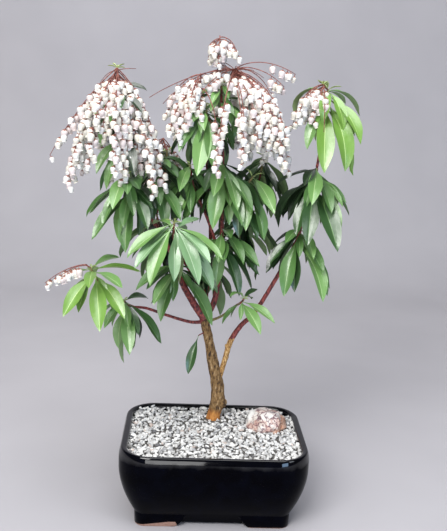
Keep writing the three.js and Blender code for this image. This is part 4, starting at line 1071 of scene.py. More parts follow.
stub_foot = limbs["bough_right"].point(STUB_SHARE)
stub = Limb([(*(stub_foot + place), radius) for place, radius in STUB_STATIONS])
bough_pile.add(*skin_limb(stub, SHOOT_SIDES, STUB_STEP, young_bark), 1)
bough_names = [name for name, entry in GROWTH.items() if "stations" in entry]
boughs = make_object("bough_bark", bough_pile, [young, tan, green_wood], shift=PLANT_SHIFT)
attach(boughs, "root")
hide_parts(*bough_names)

leaf_masses = [name for name, entry in GROWTH.items() if "leaves" in entry]
shoots = make_object("leafy_shoots", shoot_pile, [young, green_wood], shift=PLANT_SHIFT)
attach(shoots, "root")
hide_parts(*leaf_masses)

# Leaves
# Narrow leathery leaves, widest past the middle and pointed, in whorls on the shoots: the young ones stand
# up at the tip and the older ones hang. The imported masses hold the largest, and the same rule fills in more.

LEAF_WIDTH_SHARE = 0.25
SPINE_STEPS = 12
SPINE_BEND = 0.8
GOLDEN_ANGLE = 137.5
TRIES = 7
WHORL_TOP = 1.0
LEAST_HEIGHT = 0.04
RISE_BY_AGE = 40.0
DROOP_RANGE = (0.8, 1.15)
LEAF_LENGTH_RANGE = (0.86, 1.08)
SHORTER_BY_TRY = 0.06
LEAF_AZIMUTH_THROW = (16.0, 30.0)
LEAF_RISE_THROW = (18.0, 6.0)
LEAF_ROLL_THROW = 36.0
SHOWN_DROOP = 34.0
SHOWN_ROLL_THROW = 24.0
SHOWN_SIDE = 60
LIGHT_SLOPE = math.radians(52.0)
LIGHT_DIVIDE = 50.0
LIGHT_TURN = 0.6
MOST_ROLL = math.radians(48.0)
STEM_STEPS = 3
LENGTH_SIDE = 90
LOOK_SIDE = 93
FOUND_WITHIN = 0.15 * MM
OUTLINE = [0.055, 0.06, 0.16, 0.42, 0.67, 0.86, 0.97, 1.0, 0.95, 0.83, 0.62, 0.35]
ACROSS = [-1.0, -0.52, -0.04, 0.04, 0.52, 1.0]
RIB_WITHIN = 0.1
RIB_GROOVE = 0.25
RIB_BELOW = 0.3
BLADE_THICKNESS = 0.35
# Points over the face of a blade and then under it: place across, depth below the face, depth at the rib.
BLADE_POINTS = [(across, 0.0, RIB_GROOVE) for across in ACROSS]
BLADE_POINTS += [(across, BLADE_THICKNESS, RIB_BELOW) for across in ACROSS[1:-1]]
FOLD = 0.36
FOLD_CURVE = 1.4
ROLL_AT_FOOT = 0.4
TWIST = 0.12
TWIST_TURNS = (9, 0.5)
SWAY = 0.05
SWAY_TURNS = 20
WAVE = 0.05
WAVE_TURNS = (30, 1.3)
INFILL = {
    "turned": 60, "throw": 30, "fullness": 0.95, "dice": (92, 94, 97, 98, 99),
    "droops": (0.7, 1.0), "rises": (-22, 26), "lengths": (0.62, 0.9),
}
TIP_BUD = {
    "leaves": 4, "at": 0.985, "turned": 40, "droop": 50, "fullness": 0.8,
    "rises": (30, 68), "rise_side": 95, "lengths": (0.12, 0.26), "length_side": 96,
}
STALK_BUD = {
    "leaves": 7, "at": 0.98, "turned": 70, "droop": 40, "fullness": 1.0,
    "rises": (20, 75), "rise_side": 360, "lengths": (6.0, 12.0), "length_side": 361,
}
BUDDED = {"leaves_left_top": "blossom_left", "leaves_right_top": "blossom_right"}


def dice(first, second, third):
    """A repeatable number from 0 to 1 for three whole numbers, the same as in the source."""
    mixed = ((first + 1) * 73856093) & 0xFFFFFFFF
    mixed ^= ((second + 1) * 19349663) & 0xFFFFFFFF
    mixed ^= ((third + 1) * 83492791) & 0xFFFFFFFF
    mixed = ((mixed ^ (mixed >> 13)) * 1274126177) & 0xFFFFFFFF
    mixed ^= mixed >> 16
    return mixed / 4294967296.0


def within(ends, thrown):
    """The value a throw from 0 to 1 picks in a range."""
    return ends[0] + (ends[1] - ends[0]) * thrown


class Spine:
    """A line that leaves `root` at an azimuth and a slope in radians, and bends down along its length."""

    def __init__(self, root, azimuth, rise, droop, length, bend=SPINE_BEND):
        self.outward = np.array([math.cos(azimuth), math.sin(azimuth), 0.0])
        self.across = np.array([-math.sin(azimuth), math.cos(azimuth), 0.0])
        self.slopes = [rise - droop * (step / SPINE_STEPS) ** bend for step in range(SPINE_STEPS + 1)]
        self.length = length
        self.points = [np.asarray(root, float)]
        for step in range(SPINE_STEPS):
            slope = rise - droop * ((step + 0.5) / SPINE_STEPS) ** bend
            stride = np.array([*(self.outward[:2] * math.cos(slope)), math.sin(slope)])
            self.points.append(self.points[-1] + stride * length / SPINE_STEPS)

    def upward(self, step):
        """The direction square to the line at a step and to the way across it."""
        slope = self.slopes[step]
        return self.outward * -math.sin(slope) + np.array([0.0, 0.0, math.cos(slope)])


def stem_point(shoot, along):
    """A point on the straight pieces that a packed stem is made of."""
    piece = min(STEM_STEPS - 1, int(along * STEM_STEPS))
    near = shoot.point(piece / STEM_STEPS)
    return near + (shoot.point((piece + 1) / STEM_STEPS) - near) * (along * STEM_STEPS - piece)


def stem_place(shoot, top, below):
    """The place on a stem that is `below` millimetres below `top`, a fraction of its length."""
    return stem_point(shoot, max(LEAST_HEIGHT, top - below / np.linalg.norm(shoot.tip - shoot.start)))


def spine_to(root, tip, droop):
    """A spine that ends at a given place."""
    chord = tip - root
    end = Spine((0, 0, 0), 0.0, 0.0, droop, 1.0).points[-1]
    rise = math.atan2(chord[2], math.hypot(chord[0], chord[1])) - math.atan2(end[2], end[0])
    length = np.linalg.norm(chord) / np.linalg.norm(end)
    return Spine(root, math.atan2(chord[1], chord[0]), rise, droop, length)


def light_side(shoot):
    """The side of the crown that lights a shoot: -1 for the front and 1 for the back."""
    return 1 if shoot.tip[1] > LIGHT_DIVIDE else -1


def roll_to_light(shoot, spine):
    """How far a leaf rolls about its spine to turn its face to the light, which comes from its own side."""
    light = np.array([0.0, light_side(shoot) * math.cos(LIGHT_SLOPE), math.sin(LIGHT_SLOPE)])
    turn = math.atan2(-spine.across @ light, spine.upward(SPINE_STEPS // 2) @ light) * LIGHT_TURN
    return min(MOST_ROLL, max(-MOST_ROLL, turn))


def shown_leaf(mass, seed, shoot, leaf, attempt):
    """The spine and roll of a leaf that ends at a given place, or a little short of it at later tries."""
    share = leaf / max(1, len(mass["shown"]) - 1)
    root = stem_place(shoot, 1.0, WHORL_TOP + share * mass["leafy"])
    tip = root + (np.array(mass["shown"][leaf], float) - root) * (1 - SHORTER_BY_TRY * attempt)
    spine = spine_to(root, tip, math.radians(SHOWN_DROOP * (1 + attempt)))
    thrown = (dice(seed, leaf, SHOWN_SIDE + attempt) - 0.5) * SHOWN_ROLL_THROW
    return spine, roll_to_light(shoot, spine) / (1 + attempt) + math.radians(thrown)


def whorl_leaf(mass, seed, shoot, leaf, attempt):
    """The spine and roll of one leaf of a whorl, at one of its tries."""
    whorls = mass.get("whorls", (1,))
    per_whorl = math.ceil(mass["leaves"] / len(whorls))
    age = (leaf % per_whorl) / (per_whorl - 1)
    root = stem_place(shoot, whorls[leaf // per_whorl], WHORL_TOP + age * mass["leafy"])
    throws = [dice(seed, leaf, attempt * 4 + side) for side in range(4)]
    turned = (throws[0] - 0.5) * (LEAF_AZIMUTH_THROW[0] + LEAF_AZIMUTH_THROW[1] * attempt)
    lifted = (throws[1] - 0.5) * (LEAF_RISE_THROW[0] + LEAF_RISE_THROW[1] * attempt)
    azimuth = math.radians(mass["turn"] + GOLDEN_ANGLE * leaf + turned)
    rise = math.radians(mass["rise"] + RISE_BY_AGE * (0.5 - age) + lifted)
    droop = math.radians(mass["droop"] * within(DROOP_RANGE, throws[2]))
    length = mass["length"] * within(LEAF_LENGTH_RANGE, dice(seed, leaf, LENGTH_SIDE))
    spine = Spine(root, azimuth, rise, droop, length * (1 - SHORTER_BY_TRY * attempt))
    return spine, roll_to_light(shoot, spine) + math.radians((throws[3] - 0.5) * LEAF_ROLL_THROW)


def infill_leaf(mass, seed, shoot, leaf):
    """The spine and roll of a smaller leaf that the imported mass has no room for."""
    thrown_turn, thrown_height, *throws = [dice(seed, leaf, side) for side in INFILL["dice"]]
    root = stem_place(shoot, 1.0, WHORL_TOP + thrown_height * mass["leafy"])
    azimuth = mass["turn"] + INFILL["turned"] + GOLDEN_ANGLE * leaf + INFILL["throw"] * thrown_turn
    droop = math.radians(mass["droop"]) * within(INFILL["droops"], throws[0])
    rise = math.radians(mass["rise"] + within(INFILL["rises"], throws[1]))
    length = mass["length"] * within(INFILL["lengths"], throws[2])
    spine = Spine(root, math.radians(azimuth), rise, droop, length)
    return spine, roll_to_light(shoot, spine)


def opening_bud(bud, seed, shoot, scale=1.0):
    """The small new leaves that open at the head of a shoot or a flower stalk."""
    opened = []
    for leaf in range(bud["leaves"]):
        azimuth = math.radians(GOLDEN_ANGLE * leaf + bud["turned"] * seed)
        rise = math.radians(within(bud["rises"], dice(seed, leaf, bud["rise_side"])))
        length = scale * within(bud["lengths"], dice(seed, leaf, bud["length_side"]))
        spine = Spine(shoot.point(bud["at"]), azimuth, rise, math.radians(bud["droop"]), length)
        opened.append((spine, 0.0, bud["fullness"], True))
    return opened


def leaf_blade(spine, roll, width, lively):
    """Vertices of one leaf: a folded blade with a narrow midrib, its underside, and its tip last."""
    vertices = []
    swayed = math.sin(lively * SWAY_TURNS) * SWAY * spine.length
    for row, share in enumerate(OUTLINE):
        upward = spine.upward(row)
        turn = roll * (ROLL_AT_FOOT + (1 - ROLL_AT_FOOT) * row / SPINE_STEPS)
        turn += TWIST * math.sin(lively * TWIST_TURNS[0] + row * TWIST_TURNS[1])
        side = spine.across * math.cos(turn) + upward * math.sin(turn)
        normal = upward * math.cos(turn) - spine.across * math.sin(turn)
        half = share * width / 2
        middle = spine.points[row] + side * swayed * (row / SPINE_STEPS) ** 2
        wave = WAVE * math.sin(lively * WAVE_TURNS[0] + row * WAVE_TURNS[1])
        for across, thickness, rib in BLADE_POINTS:
            lift = half * (FOLD * abs(across) ** FOLD_CURVE + wave * across ** 2) - thickness
            lift -= rib if abs(across) < RIB_WITHIN else 0.0
            vertices.append(middle + side * across * half + normal * lift)
    vertices.append(spine.points[-1] + spine.across * swayed * math.cos(roll))
    return vertices


ROW = len(BLADE_POINTS)
RIB_COLUMN = 2
leaf_faces = []
leaf_parts = []
top_row = list(range(len(ACROSS)))
under_row = [0] + list(range(len(ACROSS), ROW)) + [len(ACROSS) - 1]
tip = ROW * len(OUTLINE)
for row in range(len(OUTLINE)):
    for column in range(len(ACROSS) - 1):
        a, b = (row * ROW + place for place in top_row[column:column + 2])
        c, d = (row * ROW + place for place in under_row[column:column + 2])
        part = 1 if column == RIB_COLUMN or row == 0 else 0
        if row == len(OUTLINE) - 1:
            leaf_faces += [(a, tip, b), (c, d, tip)]
        else:
            leaf_faces += [(a, a + ROW, b + ROW, b), (c, d, d + ROW, c + ROW)]
        leaf_parts += [part, 2]

# Name, roughness and specular level of a leaf's face, its rib and its underside, and then their colours.
LEAF_PARTS = (("leaf_", 0.32, 1.0), ("rib_", 0.45, 1.0), ("under_", 0.6, 0.4))
# The dark and deep tones are mostly painted shade on leaves that point into the crown, and the middle and
# light green ones are mostly painted light on leaves that face out to the front.
LEAF_TONES = {
    "dark": ((0.008, 0.024, 0.007), (0.05, 0.10, 0.035), (0.05, 0.09, 0.035)),
    "deep": ((0.034, 0.090, 0.024), (0.14, 0.26, 0.09), (0.10, 0.17, 0.065)),
    "middle": ((0.088, 0.200, 0.052), (0.26, 0.42, 0.16), (0.18, 0.28, 0.12)),
    "light_green": ((0.150, 0.300, 0.085), (0.37, 0.53, 0.24), (0.25, 0.36, 0.16)),
    "bright": ((0.155, 0.305, 0.052), (0.40, 0.56, 0.20), (0.29, 0.41, 0.14)),
    # The pale tone is a pale green that also paints the whitish sheen of the front left leaves.
    "pale": ((0.200, 0.350, 0.175), (0.46, 0.60, 0.40), (0.30, 0.41, 0.24)),
    "bud": ((0.340, 0.440, 0.150), (0.44, 0.48, 0.19), (0.34, 0.42, 0.15)),
}
TONES = list(LEAF_TONES)
# The main tone of a mass, and the share of its leaves that take it. The rest are light green.
MASS_TONES = {
    "leaf_on_trunk": ("deep", 1.0),
    "leaves_centre_top": ("middle", 0.6),
    "leaves_right_top": ("bright", 0.75),
    "leaves_low_left_tip": ("bright", 0.75),
    "leaves_front_left": ("pale", 0.8),
}
BRIGHT_MASSES = ("leaves_right_top", "leaves_low_left_tip", "leaves_centre_top")
PALE_MASSES = ("leaves_front_left",)
# The low masses stand in the open, and their leaves' tones are lifted by this much painted light.
LOW_MASSES = ("leaves_low_left", "leaves_low_right")
LOW_PAINTED_LIGHT = 0.22
PAINTED_SHADE_WEIGHT = 0.6
# Leads the outward direction towards the lit side, so that leaves facing the front take the lighter tones of
# painted light.
OUTWARD_LEAD = 90.0
TONE_STEPS = (0.38, 0.58, 0.78)
GLOSS_SPREAD = (0.75, 1.3)

leaf_finishes = []
for tone, colors in LEAF_TONES.items():
    for (part, roughness, specular), color in zip(LEAF_PARTS, colors):
        finish = Finish(part + tone, color, roughness)
        finish.sockets["Specular IOR Level"].default_value = specular
        mottle = finish.grain(260.0, 2.0)
        gloss = finish.spread(mottle, (0.0, 1.0), [roughness * share for share in GLOSS_SPREAD])
        finish.link(gloss, finish.sockets["Roughness"])
        finish.relief(mottle, 0.0004, 0.6)
        leaf_finishes.append(finish)


def leaf_tone(mass_name, thrown, facing_light):
    """Which of the leaf colours a grown leaf takes: by its mass, or else by a throw and by how far it faces
    out of the crown, as painted shade on the inner leaves and painted light on the outer ones.
    """
    if mass_name in MASS_TONES:
        tone, share = MASS_TONES[mass_name]
        return TONES.index(tone if thrown < share else "light_green")
    # Painted shade: leaves that face into the crown take darker tones, and leaves that face out take lighter
    # ones.
    level = (1 - PAINTED_SHADE_WEIGHT) * thrown + PAINTED_SHADE_WEIGHT * facing_light
    level += LOW_PAINTED_LIGHT if mass_name in LOW_MASSES else 0.0
    return sum(level > step for step in TONE_STEPS)


def facing_out(shoot, spine):
    """How far a leaf points out of the crown and towards its lit side, from 0 for one that points into it to
    1; it sets the painted shade of the leaf's tone.
    """
    outward = shoot.tip[:2] + np.array([0.0, light_side(shoot) * OUTWARD_LEAD])
    return 0.5 + 0.5 * float(spine.outward[:2] @ outward) / np.linalg.norm(outward)


def vertex_finder(name):
    """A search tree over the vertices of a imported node, in the row frame."""
    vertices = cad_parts[name].data.vertices
    tree = KDTree(len(vertices))
    for index, vertex in enumerate(vertices):
        tree.insert(vertex.co, index)
    tree.balance()
    return tree


def is_packed(tree, point):
    """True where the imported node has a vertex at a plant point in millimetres."""
    return tree.find(Vector((np.asarray(point) * MM + POT_MIDDLE).tolist()))[2] < FOUND_WITHIN


def first_packed(tree, tries):
    """The first of a leaf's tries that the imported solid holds, or None."""
    return next((entry for entry in tries if is_packed(tree, entry[0].points[-1])), None)


def grown_leaves(name, mass, seed):
    """Every leaf of a mass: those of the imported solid, then smaller ones between them, then the bud."""
    shoot = limbs[name]
    tree = vertex_finder(name)
    grown = []
    for leaf in range(len(mass.get("shown", ()))):
        tries = [shown_leaf(mass, seed, shoot, leaf, attempt) for attempt in range(TRIES)]
        grown.append(first_packed(tree, tries) or tries[0])
    for leaf in range(mass["leaves"]):
        tries = [whorl_leaf(mass, seed, shoot, leaf, attempt) for attempt in range(TRIES)]
        grown.append(first_packed(tree, tries))
    found = [(*entry, 1.0, False) for entry in grown if entry is not None]
    for leaf in range(mass["leaves"]):
        found.append((*infill_leaf(mass, seed, shoot, leaf), INFILL["fullness"], False))
    if name != "leaf_on_trunk" and name not in carried_on:
        found += opening_bud(TIP_BUD, seed, shoot, mass["length"])
    if name in BUDDED:
        found += opening_bud(STALK_BUD, seed, limbs[BUDDED[name]])
    return found


SEEDS = {name: seed for seed, name in enumerate(GROWTH)}
for slot_name, masses in (
    ("leaf", [name for name in leaf_masses if name not in BRIGHT_MASSES + PALE_MASSES]),
    ("bright_leaf", BRIGHT_MASSES),
    ("pale_leaf", PALE_MASSES),
):
    pile = Pile()
    for name in masses:
        grown = grown_leaves(name, GROWTH[name], SEEDS[name])
        for number, (spine, roll, fullness, budding) in enumerate(grown):
            thrown = dice(SEEDS[name], number, LOOK_SIDE)
            tone = TONES.index("bud") if budding else leaf_tone(name, thrown, facing_out(limbs[name], spine))
            blade = leaf_blade(spine, roll, spine.length * LEAF_WIDTH_SHARE * fullness, thrown)
            pile.add(blade, leaf_faces, [tone * len(LEAF_PARTS) + part for part in leaf_parts])
    piece = make_object(slot_name + "_blades", pile, leaf_finishes, sharp=60, shift=PLANT_SHIFT)
    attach(piece, "root")
    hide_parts(*masses)

# Blossom
# Panicles of dusky red racemes that arch out and hang, strung all round with white urn-shaped bells on short
# stalks under a small brown calyx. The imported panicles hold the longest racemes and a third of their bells.

RACEME_TOP = 0.97
RACEME_DEPTH = 0.6
RACEME_STRIDE = 3
RACEME_SIDE = 50
RACEME_AZIMUTH_THROW = (12.0, 16.0)
RACEME_RISE_THROW = 30.0
SHORT_RACEME = 0.62
RACEME_LENGTH_RANGE = (0.82, 1.0)
RACHIS_BEND = 0.55
RACHIS_RADII = (0.62, 0.34)
RACHIS_SIDES = 5
RACHIS_IN_FLOWER = 0.91
LAST_BELL = 0.99
STALK_POINTS = 12
STALK_SIDES = 7
BETWEEN_RACEMES = {"blossom_left": 1.2, "blossom_centre": 3.8, "blossom_top": 2.4, "blossom_low_left": 0}
BETWEEN_ELSEWHERE = 1.5
BETWEEN_RISES = (-20, 16)
BETWEEN_LENGTHS = (0.42, 0.9)
BETWEEN_DICE = 300
BETWEEN_ROOT_DICE = 330
MOST_HIDING = 1
BARE_RACEMES = {"blossom_centre": 12, "blossom_left": 3}
BARE_DEPTH = 0.3
BARE_RISES = (18, 60)
BARE_FALLS = (-50, 0)
BARE_LENGTHS = (18, 38)
BARE_RADII = (0.45, 0.28)
BARE_SIDES = 4
BARE_DICE = 340
BARE_ROOT_DICE = 331
# How far down the stalk a raceme springs, then its azimuth, rise, fall and length.
SIDE_RACEMES = {
    "blossom_centre": [
        (0.0, -6, 34, -44, 56), (0.0, 14, 30, -60, 48), (0.15, -35, 0, -84, 88), (0.25, -15, 5, -84, 80),
        (0.30, -50, -5, -86, 84), (0.35, -25, 0, -86, 72), (0.20, 5, 5, -84, 66), (0.40, -40, 0, -88, 62),
        (0.10, -24, 12, -84, 102), (0.45, -10, 0, -88, 56), (0.30, -70, 0, -86, 70), (0.15, -12, 10, -86, 96),
        (0.05, 186, 6, -34, 92),
    ],
}
FIRST_BETWEEN = 100
FIRST_ON_SIDE = 200
# The shares of its length at which a raceme that isn't in full flower has its bells.
FEW_BELLS = {
    ("blossom_left", 13): [0.99, *np.linspace(0.84, 0.16, 17)],
    ("blossom_left", 14): [0.99, 0.90, *np.linspace(0.76, 0.14, 20)],
    ("blossom_low_left", 0): [0.97, 0.86, 0.73, 0.60, 0.47, 0.35, 0.24],
    ("blossom_low_left", 1): [0.96, 0.83, 0.69, 0.56, 0.42, 0.30],
    ("blossom_centre", 10): [0.99, 0.91, 0.86, 0.78, 0.60],
    ("blossom_centre", 11): [0.80, 0.74, 0.66, 0.50, 0.42, 0.36, 0.28, 0.22],
    ("blossom_centre", FIRST_ON_SIDE + 0): [0.99, 0.9, 0.82, 0.7],
    ("blossom_centre", FIRST_ON_SIDE + 1): [0.99, 0.88],
    ("blossom_centre", FIRST_ON_SIDE + 12): [0.66],
}
COMPACT = {"blossom_top": 0.66}
# Left, right, lower and upper edge of the windows in which leaves show in front of the bells.
LEAVES_IN_FRONT = [
    (-28.0, -8.0, 426.0, 458.0), (-8.0, 3.0, 446.0, 464.0), (-3.0, 11.0, 420.0, 458.0),
    (11.0, 27.0, 441.0, 450.0), (88.0, 128.0, 380.0, 444.0),
]
BESIDE_STEM = 6.0
BELL_PITCH = 4.9
BELL_SIDES = 10
BELL_SIZES = (1.06, 1.30)
END_BELL_SIZES = (0.78, 0.9)
LEAST_BELLS = 3
BELLS_ROUND = 3
BELL_TURN = 0.21
BELL_TURN_THROW = 0.22
BELL_LEAN = 0.5
BELL_SPIN = 1.1
BELL_TONE_THROW = 2.5
BELL_OUTWARD = 0.22
BELL_DICE = 400
STEEP = -0.8
STALK_LENGTH = 2.6
STALK_RADII = (0.32, 0.32)
STALK_BENT_AT = 0.7
STALK_OUTWARD = 0.8
STALK_DOWNWARD = 0.6
STALK_IN_CALYX = 0.4
CALYX = [(0.5, -0.2), (1.4, 0.2), (2.25, 1.5), (1.5, 1.4)]
CALYX_LOBES = (0.18, 2)
URN = [
    (1.5, 0.75), (2.45, 1.3), (2.95, 2.2), (3.05, 3.2), (2.8, 4.4), (2.35, 5.6), (1.85, 6.5), (1.75, 6.8),
    (2.4, 7.4), (1.4, 7.1), (1.2, 5.2),
]
URN_LOBES = (0.14, 3)

rachis_red = Finish("rachis_red", (0.24, 0.08, 0.06), 0.6)
rachis_red.speckle(rachis_red.grain(500.0), [(0.38, (0.13, 0.035, 0.03)), (0.68, (0.34, 0.13, 0.10))])
calyx_brown = Finish("calyx_brown", (0.36, 0.16, 0.12), 0.55)
calyx_brown.speckle(calyx_brown.grain(800.0, 2.0), [(0.4, (0.20, 0.055, 0.045)), (0.7, (0.36, 0.19, 0.12))])
bell_finishes = [rachis_red, calyx_brown]
FIRST_BELL_TONE = len(bell_finishes)
for name, color in (
    ("bell_white", (0.78, 0.77, 0.75)),
    ("bell_cream", (0.74, 0.71, 0.64)),
    ("bell_blush", (0.70, 0.62, 0.61)),
):
    petal = Finish(name, color, 0.4)
    petal.sockets["Subsurface Weight"].default_value = 0.05
    petal.sockets["Subsurface Radius"].default_value = (0.002, 0.002, 0.0016)
    petal.relief(petal.grain(900.0, 2.0), 0.0002, 0.4)
    bell_finishes.append(petal)


def rod(points, radii, sides):
    """Vertices and faces of a thin round rod along points, between two radii."""
    points = np.asarray(points, float)
    last = len(points) - 1
    ways = [points[min(row + 1, last)] - points[max(row - 1, 0)] for row in range(last + 1)]
    thinning = [radii[0] + (radii[1] - radii[0]) * row / last for row in range(last + 1)]
    return skin(points, ways, thinning, sides, (0.3, 1.0, 0.2))


def turned_form(profile, lobe, lobed_rows):
    """Vertices and faces of a form turned from (radius, drop) rows, with lobes on its last rows."""
    rows = []
    for row, (radius, drop) in enumerate(profile):
        ring = []
        for side in range(BELL_SIDES):
            turn = 2 * math.pi * side / BELL_SIDES
            spread = radius
            if row >= len(profile) - lobed_rows:
                spread = radius * (1 + (lobe if side % 2 else -lobe))
            ring.append((spread * math.cos(turn), spread * math.sin(turn), -drop))
        rows.append(ring)
    vertices, faces = loft(rows)
    return np.array(vertices), [tuple(reversed(face)) for face in faces]


calyx_form = turned_form(CALYX, *CALYX_LOBES)
urn_form = turned_form(URN, *URN_LOBES)


def hang_bell(pile, hook, sideways, lean, size, tone, spin):
    """One bell on its stalk: the stalk leaves the rachis sideways, and the bell hangs down from it."""
    down = np.array([0.0, 0.0, -1.0])
    stalk_line = sideways * STALK_OUTWARD + down * STALK_DOWNWARD
    stalk_line /= np.linalg.norm(stalk_line)
    fall = down + sideways * BELL_OUTWARD + lean
    fall /= np.linalg.norm(fall)
    top = hook + stalk_line * STALK_LENGTH
    bent = hook + stalk_line * STALK_LENGTH * STALK_BENT_AT
    pile.add(*rod([hook, bent, top + fall * STALK_IN_CALYX], STALK_RADII, 4))
    side = np.cross(fall, (0.2, 1.0, 0.1))
    side /= np.linalg.norm(side)
    front = np.cross(fall, side)
    turn_side = side * math.cos(spin) + front * math.sin(spin)
    turn_front = front * math.cos(spin) - side * math.sin(spin)
    basis = np.array([turn_side, turn_front, -fall]) * size
    for (vertices, faces), material in ((calyx_form, 1), (urn_form, tone)):
        pile.add(vertices @ basis + top, faces, material)


def raceme_course(panicle, seed, raceme, attempt):
    """Azimuth, rise, fall and length of a packed raceme at one of its tries."""
    first, last = panicle["fan"]
    throws = [dice(seed, raceme, attempt * 3 + side + RACEME_SIDE) for side in range(3)]
    turned = (throws[0] - 0.5) * (RACEME_AZIMUTH_THROW[0] + RACEME_AZIMUTH_THROW[1] * attempt)
    azimuth = first + (last - first) * (raceme + 0.5) / panicle["racemes"] + turned
    rise = panicle["rise"] + (throws[1] - 0.5) * RACEME_RISE_THROW
    reach = panicle["reach"] * (SHORT_RACEME if raceme % 2 else 1.0)
    return azimuth, rise, panicle["fall"], reach * within(RACEME_LENGTH_RANGE, throws[2])


def between_course(panicle, seed, number, count):
    """Azimuth, rise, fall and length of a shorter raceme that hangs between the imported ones."""
    first, last = panicle["fan"]
    throws = [dice(seed, number, BETWEEN_DICE + side) for side in range(3)]
    azimuth = first + (last - first) * (number + throws[0]) / count
    rise = panicle["rise"] + within(BETWEEN_RISES, throws[1])
    return azimuth, rise, panicle["fall"], panicle["reach"] * within(BETWEEN_LENGTHS, throws[2])


def bare_course(seed, number):
    """Azimuth, rise, fall and length of an old raceme that has dropped its bells."""
    course = [GOLDEN_ANGLE * number]
    for side, ends in enumerate((BARE_RISES, BARE_FALLS, BARE_LENGTHS)):
        course.append(within(ends, dice(seed, number, BARE_DICE + side)))
    return course


def raceme_spine(root, course):
    """The line of a raceme from its azimuth, rise, fall and length."""
    azimuth, rise, fall, length = course
    droop = math.radians(rise - fall)
    return Spine(root, math.radians(azimuth), math.radians(rise), droop, length, RACHIS_BEND)


def shortened(spine, share):
    """The part of a raceme's line nearest its root, over a share of its length."""
    part = copy.copy(spine)
    part.length = spine.length * share
    steps = np.arange(SPINE_STEPS + 1)
    axes = [np.interp(steps * share, steps, axis) for axis in np.array(spine.points).T]
    part.points = list(np.array(axes).T)
    part.slopes = np.interp(steps * share, steps, spine.slopes).tolist()
    return part


def hides_leaf(place, stalk):
    """True where a bell would hang over the leaves that show in front of a panicle."""
    for low_x, high_x, low_z, high_z in LEAVES_IN_FRONT:
        if low_x < place[0] < high_x and low_z < place[2] < high_z:
            return place[1] < stalk.tip[1] + BESIDE_STEM
    return False


def all_along(length):
    """Where the bells hang on a raceme in full flower, as shares of its length from its end up."""
    count = max(LEAST_BELLS, int(length * RACHIS_IN_FLOWER / BELL_PITCH))
    return [LAST_BELL - bell * RACHIS_IN_FLOWER / count for bell in range(count)]


def grow_raceme(pile, name, spine, number):
    """A raceme's rachis, and its bells on three sides by turns: all along it unless it has few."""
    stalks.add(*rod(spine.points, RACHIS_RADII, RACHIS_SIDES))
    for bell, share in enumerate(FEW_BELLS.get((name, number), all_along(spine.length))):
        place = SPINE_STEPS * share
        step = int(place)
        hook = spine.points[step] + (spine.points[step + 1] - spine.points[step]) * (place - step)
        if hides_leaf(hook, limbs[name]):
            continue
        throws = [dice(SEEDS[name], number, bell * 5 + BELL_DICE + side) for side in range(5)]
        turn = 2 * math.pi * (bell / BELLS_ROUND + number * BELL_TURN + throws[0] * BELL_TURN_THROW)
        front = math.sin(turn) if spine.slopes[step] < STEEP else -abs(math.sin(turn))
        sideways = spine.across * math.cos(turn) + spine.upward(step) * front
        lean = np.array([throws[1] - 0.5, throws[2] - 0.5, 0.0]) * BELL_LEAN
        size = within(BELL_SIZES, throws[3]) * (END_BELL_SIZES[bell] if bell < len(END_BELL_SIZES) else 1.0)
        tone = FIRST_BELL_TONE + int(throws[4] * BELL_TONE_THROW)
        hang_bell(pile, hook, sideways, lean, size, tone, bell * BELL_SPIN)


PILES = {
    "left": ["blossom_left"],
    "centre": ["blossom_centre"],
    "right": ["blossom_centre_left", "blossom_right", "blossom_top", "blossom_low_left"],
    "back": ["blossom_back", "blossom_back_left"],
}
stalks = Pile()
for pile_name, panicle_names in PILES.items():
    pile = Pile()
    for name in panicle_names:
        panicle = GROWTH[name]
        seed = SEEDS[name]
        stalk = limbs[name]
        tree = vertex_finder(name)
        strays = panicle.get("strays", [])
        stalk_points = [stalk.point(share) for share in np.linspace(0, 1, STALK_POINTS)]
        stalks.add(*rod(stalk_points, FLOWER_STALK_RADII, STALK_SIDES))
        for raceme in range(panicle["racemes"] + len(strays)):
            courses = [raceme_course(panicle, seed, raceme, attempt) for attempt in range(TRIES)]
            turn_down = ((raceme * RACEME_STRIDE) % panicle["racemes"]) / panicle["racemes"]
            if raceme >= panicle["racemes"]:
                courses = [strays[raceme - panicle["racemes"]]]
                turn_down = 0.0
            root = stem_point(stalk, RACEME_TOP - RACEME_DEPTH * turn_down)
            spines = [raceme_spine(root, course) for course in courses]
            spine = next((entry for entry in spines if is_packed(tree, entry.points[-1])), None)
            if spine is None:
                continue
            if name in COMPACT and turn_down > 0:
                spine = shortened(spine, COMPACT[name])
            grow_raceme(pile, name, spine, raceme)
        between = int(panicle["racemes"] * BETWEEN_RACEMES.get(name, BETWEEN_ELSEWHERE))
        depth = RACEME_DEPTH * (1 - COMPACT.get(name, 0.0))
        for number in range(between):
            root = stem_point(stalk, RACEME_TOP - depth * dice(seed, number, BETWEEN_ROOT_DICE))
            spine = raceme_spine(root, between_course(panicle, seed, number, between))
            if sum(hides_leaf(point, stalk) for point in spine.points) > MOST_HIDING:
                continue
            if name in COMPACT:
                spine = shortened(spine, COMPACT[name])
            grow_raceme(pile, name, spine, FIRST_BETWEEN + number)
        for number, (down, *course) in enumerate(SIDE_RACEMES.get(name, ())):
            spine = raceme_spine(stem_point(stalk, RACEME_TOP - down), course)
            grow_raceme(pile, name, spine, FIRST_ON_SIDE + number)
        for number in range(BARE_RACEMES.get(name, 0)):
            root = stem_point(stalk, RACEME_TOP - BARE_DEPTH * dice(seed, number, BARE_ROOT_DICE))
            stalks.add(*rod(raceme_spine(root, bare_course(seed, number)).points, BARE_RADII, BARE_SIDES))
    piece = make_object("bells_" + pile_name, pile, bell_finishes, sharp=55, shift=PLANT_SHIFT)
    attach(piece, "root")
    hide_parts(*panicle_names)

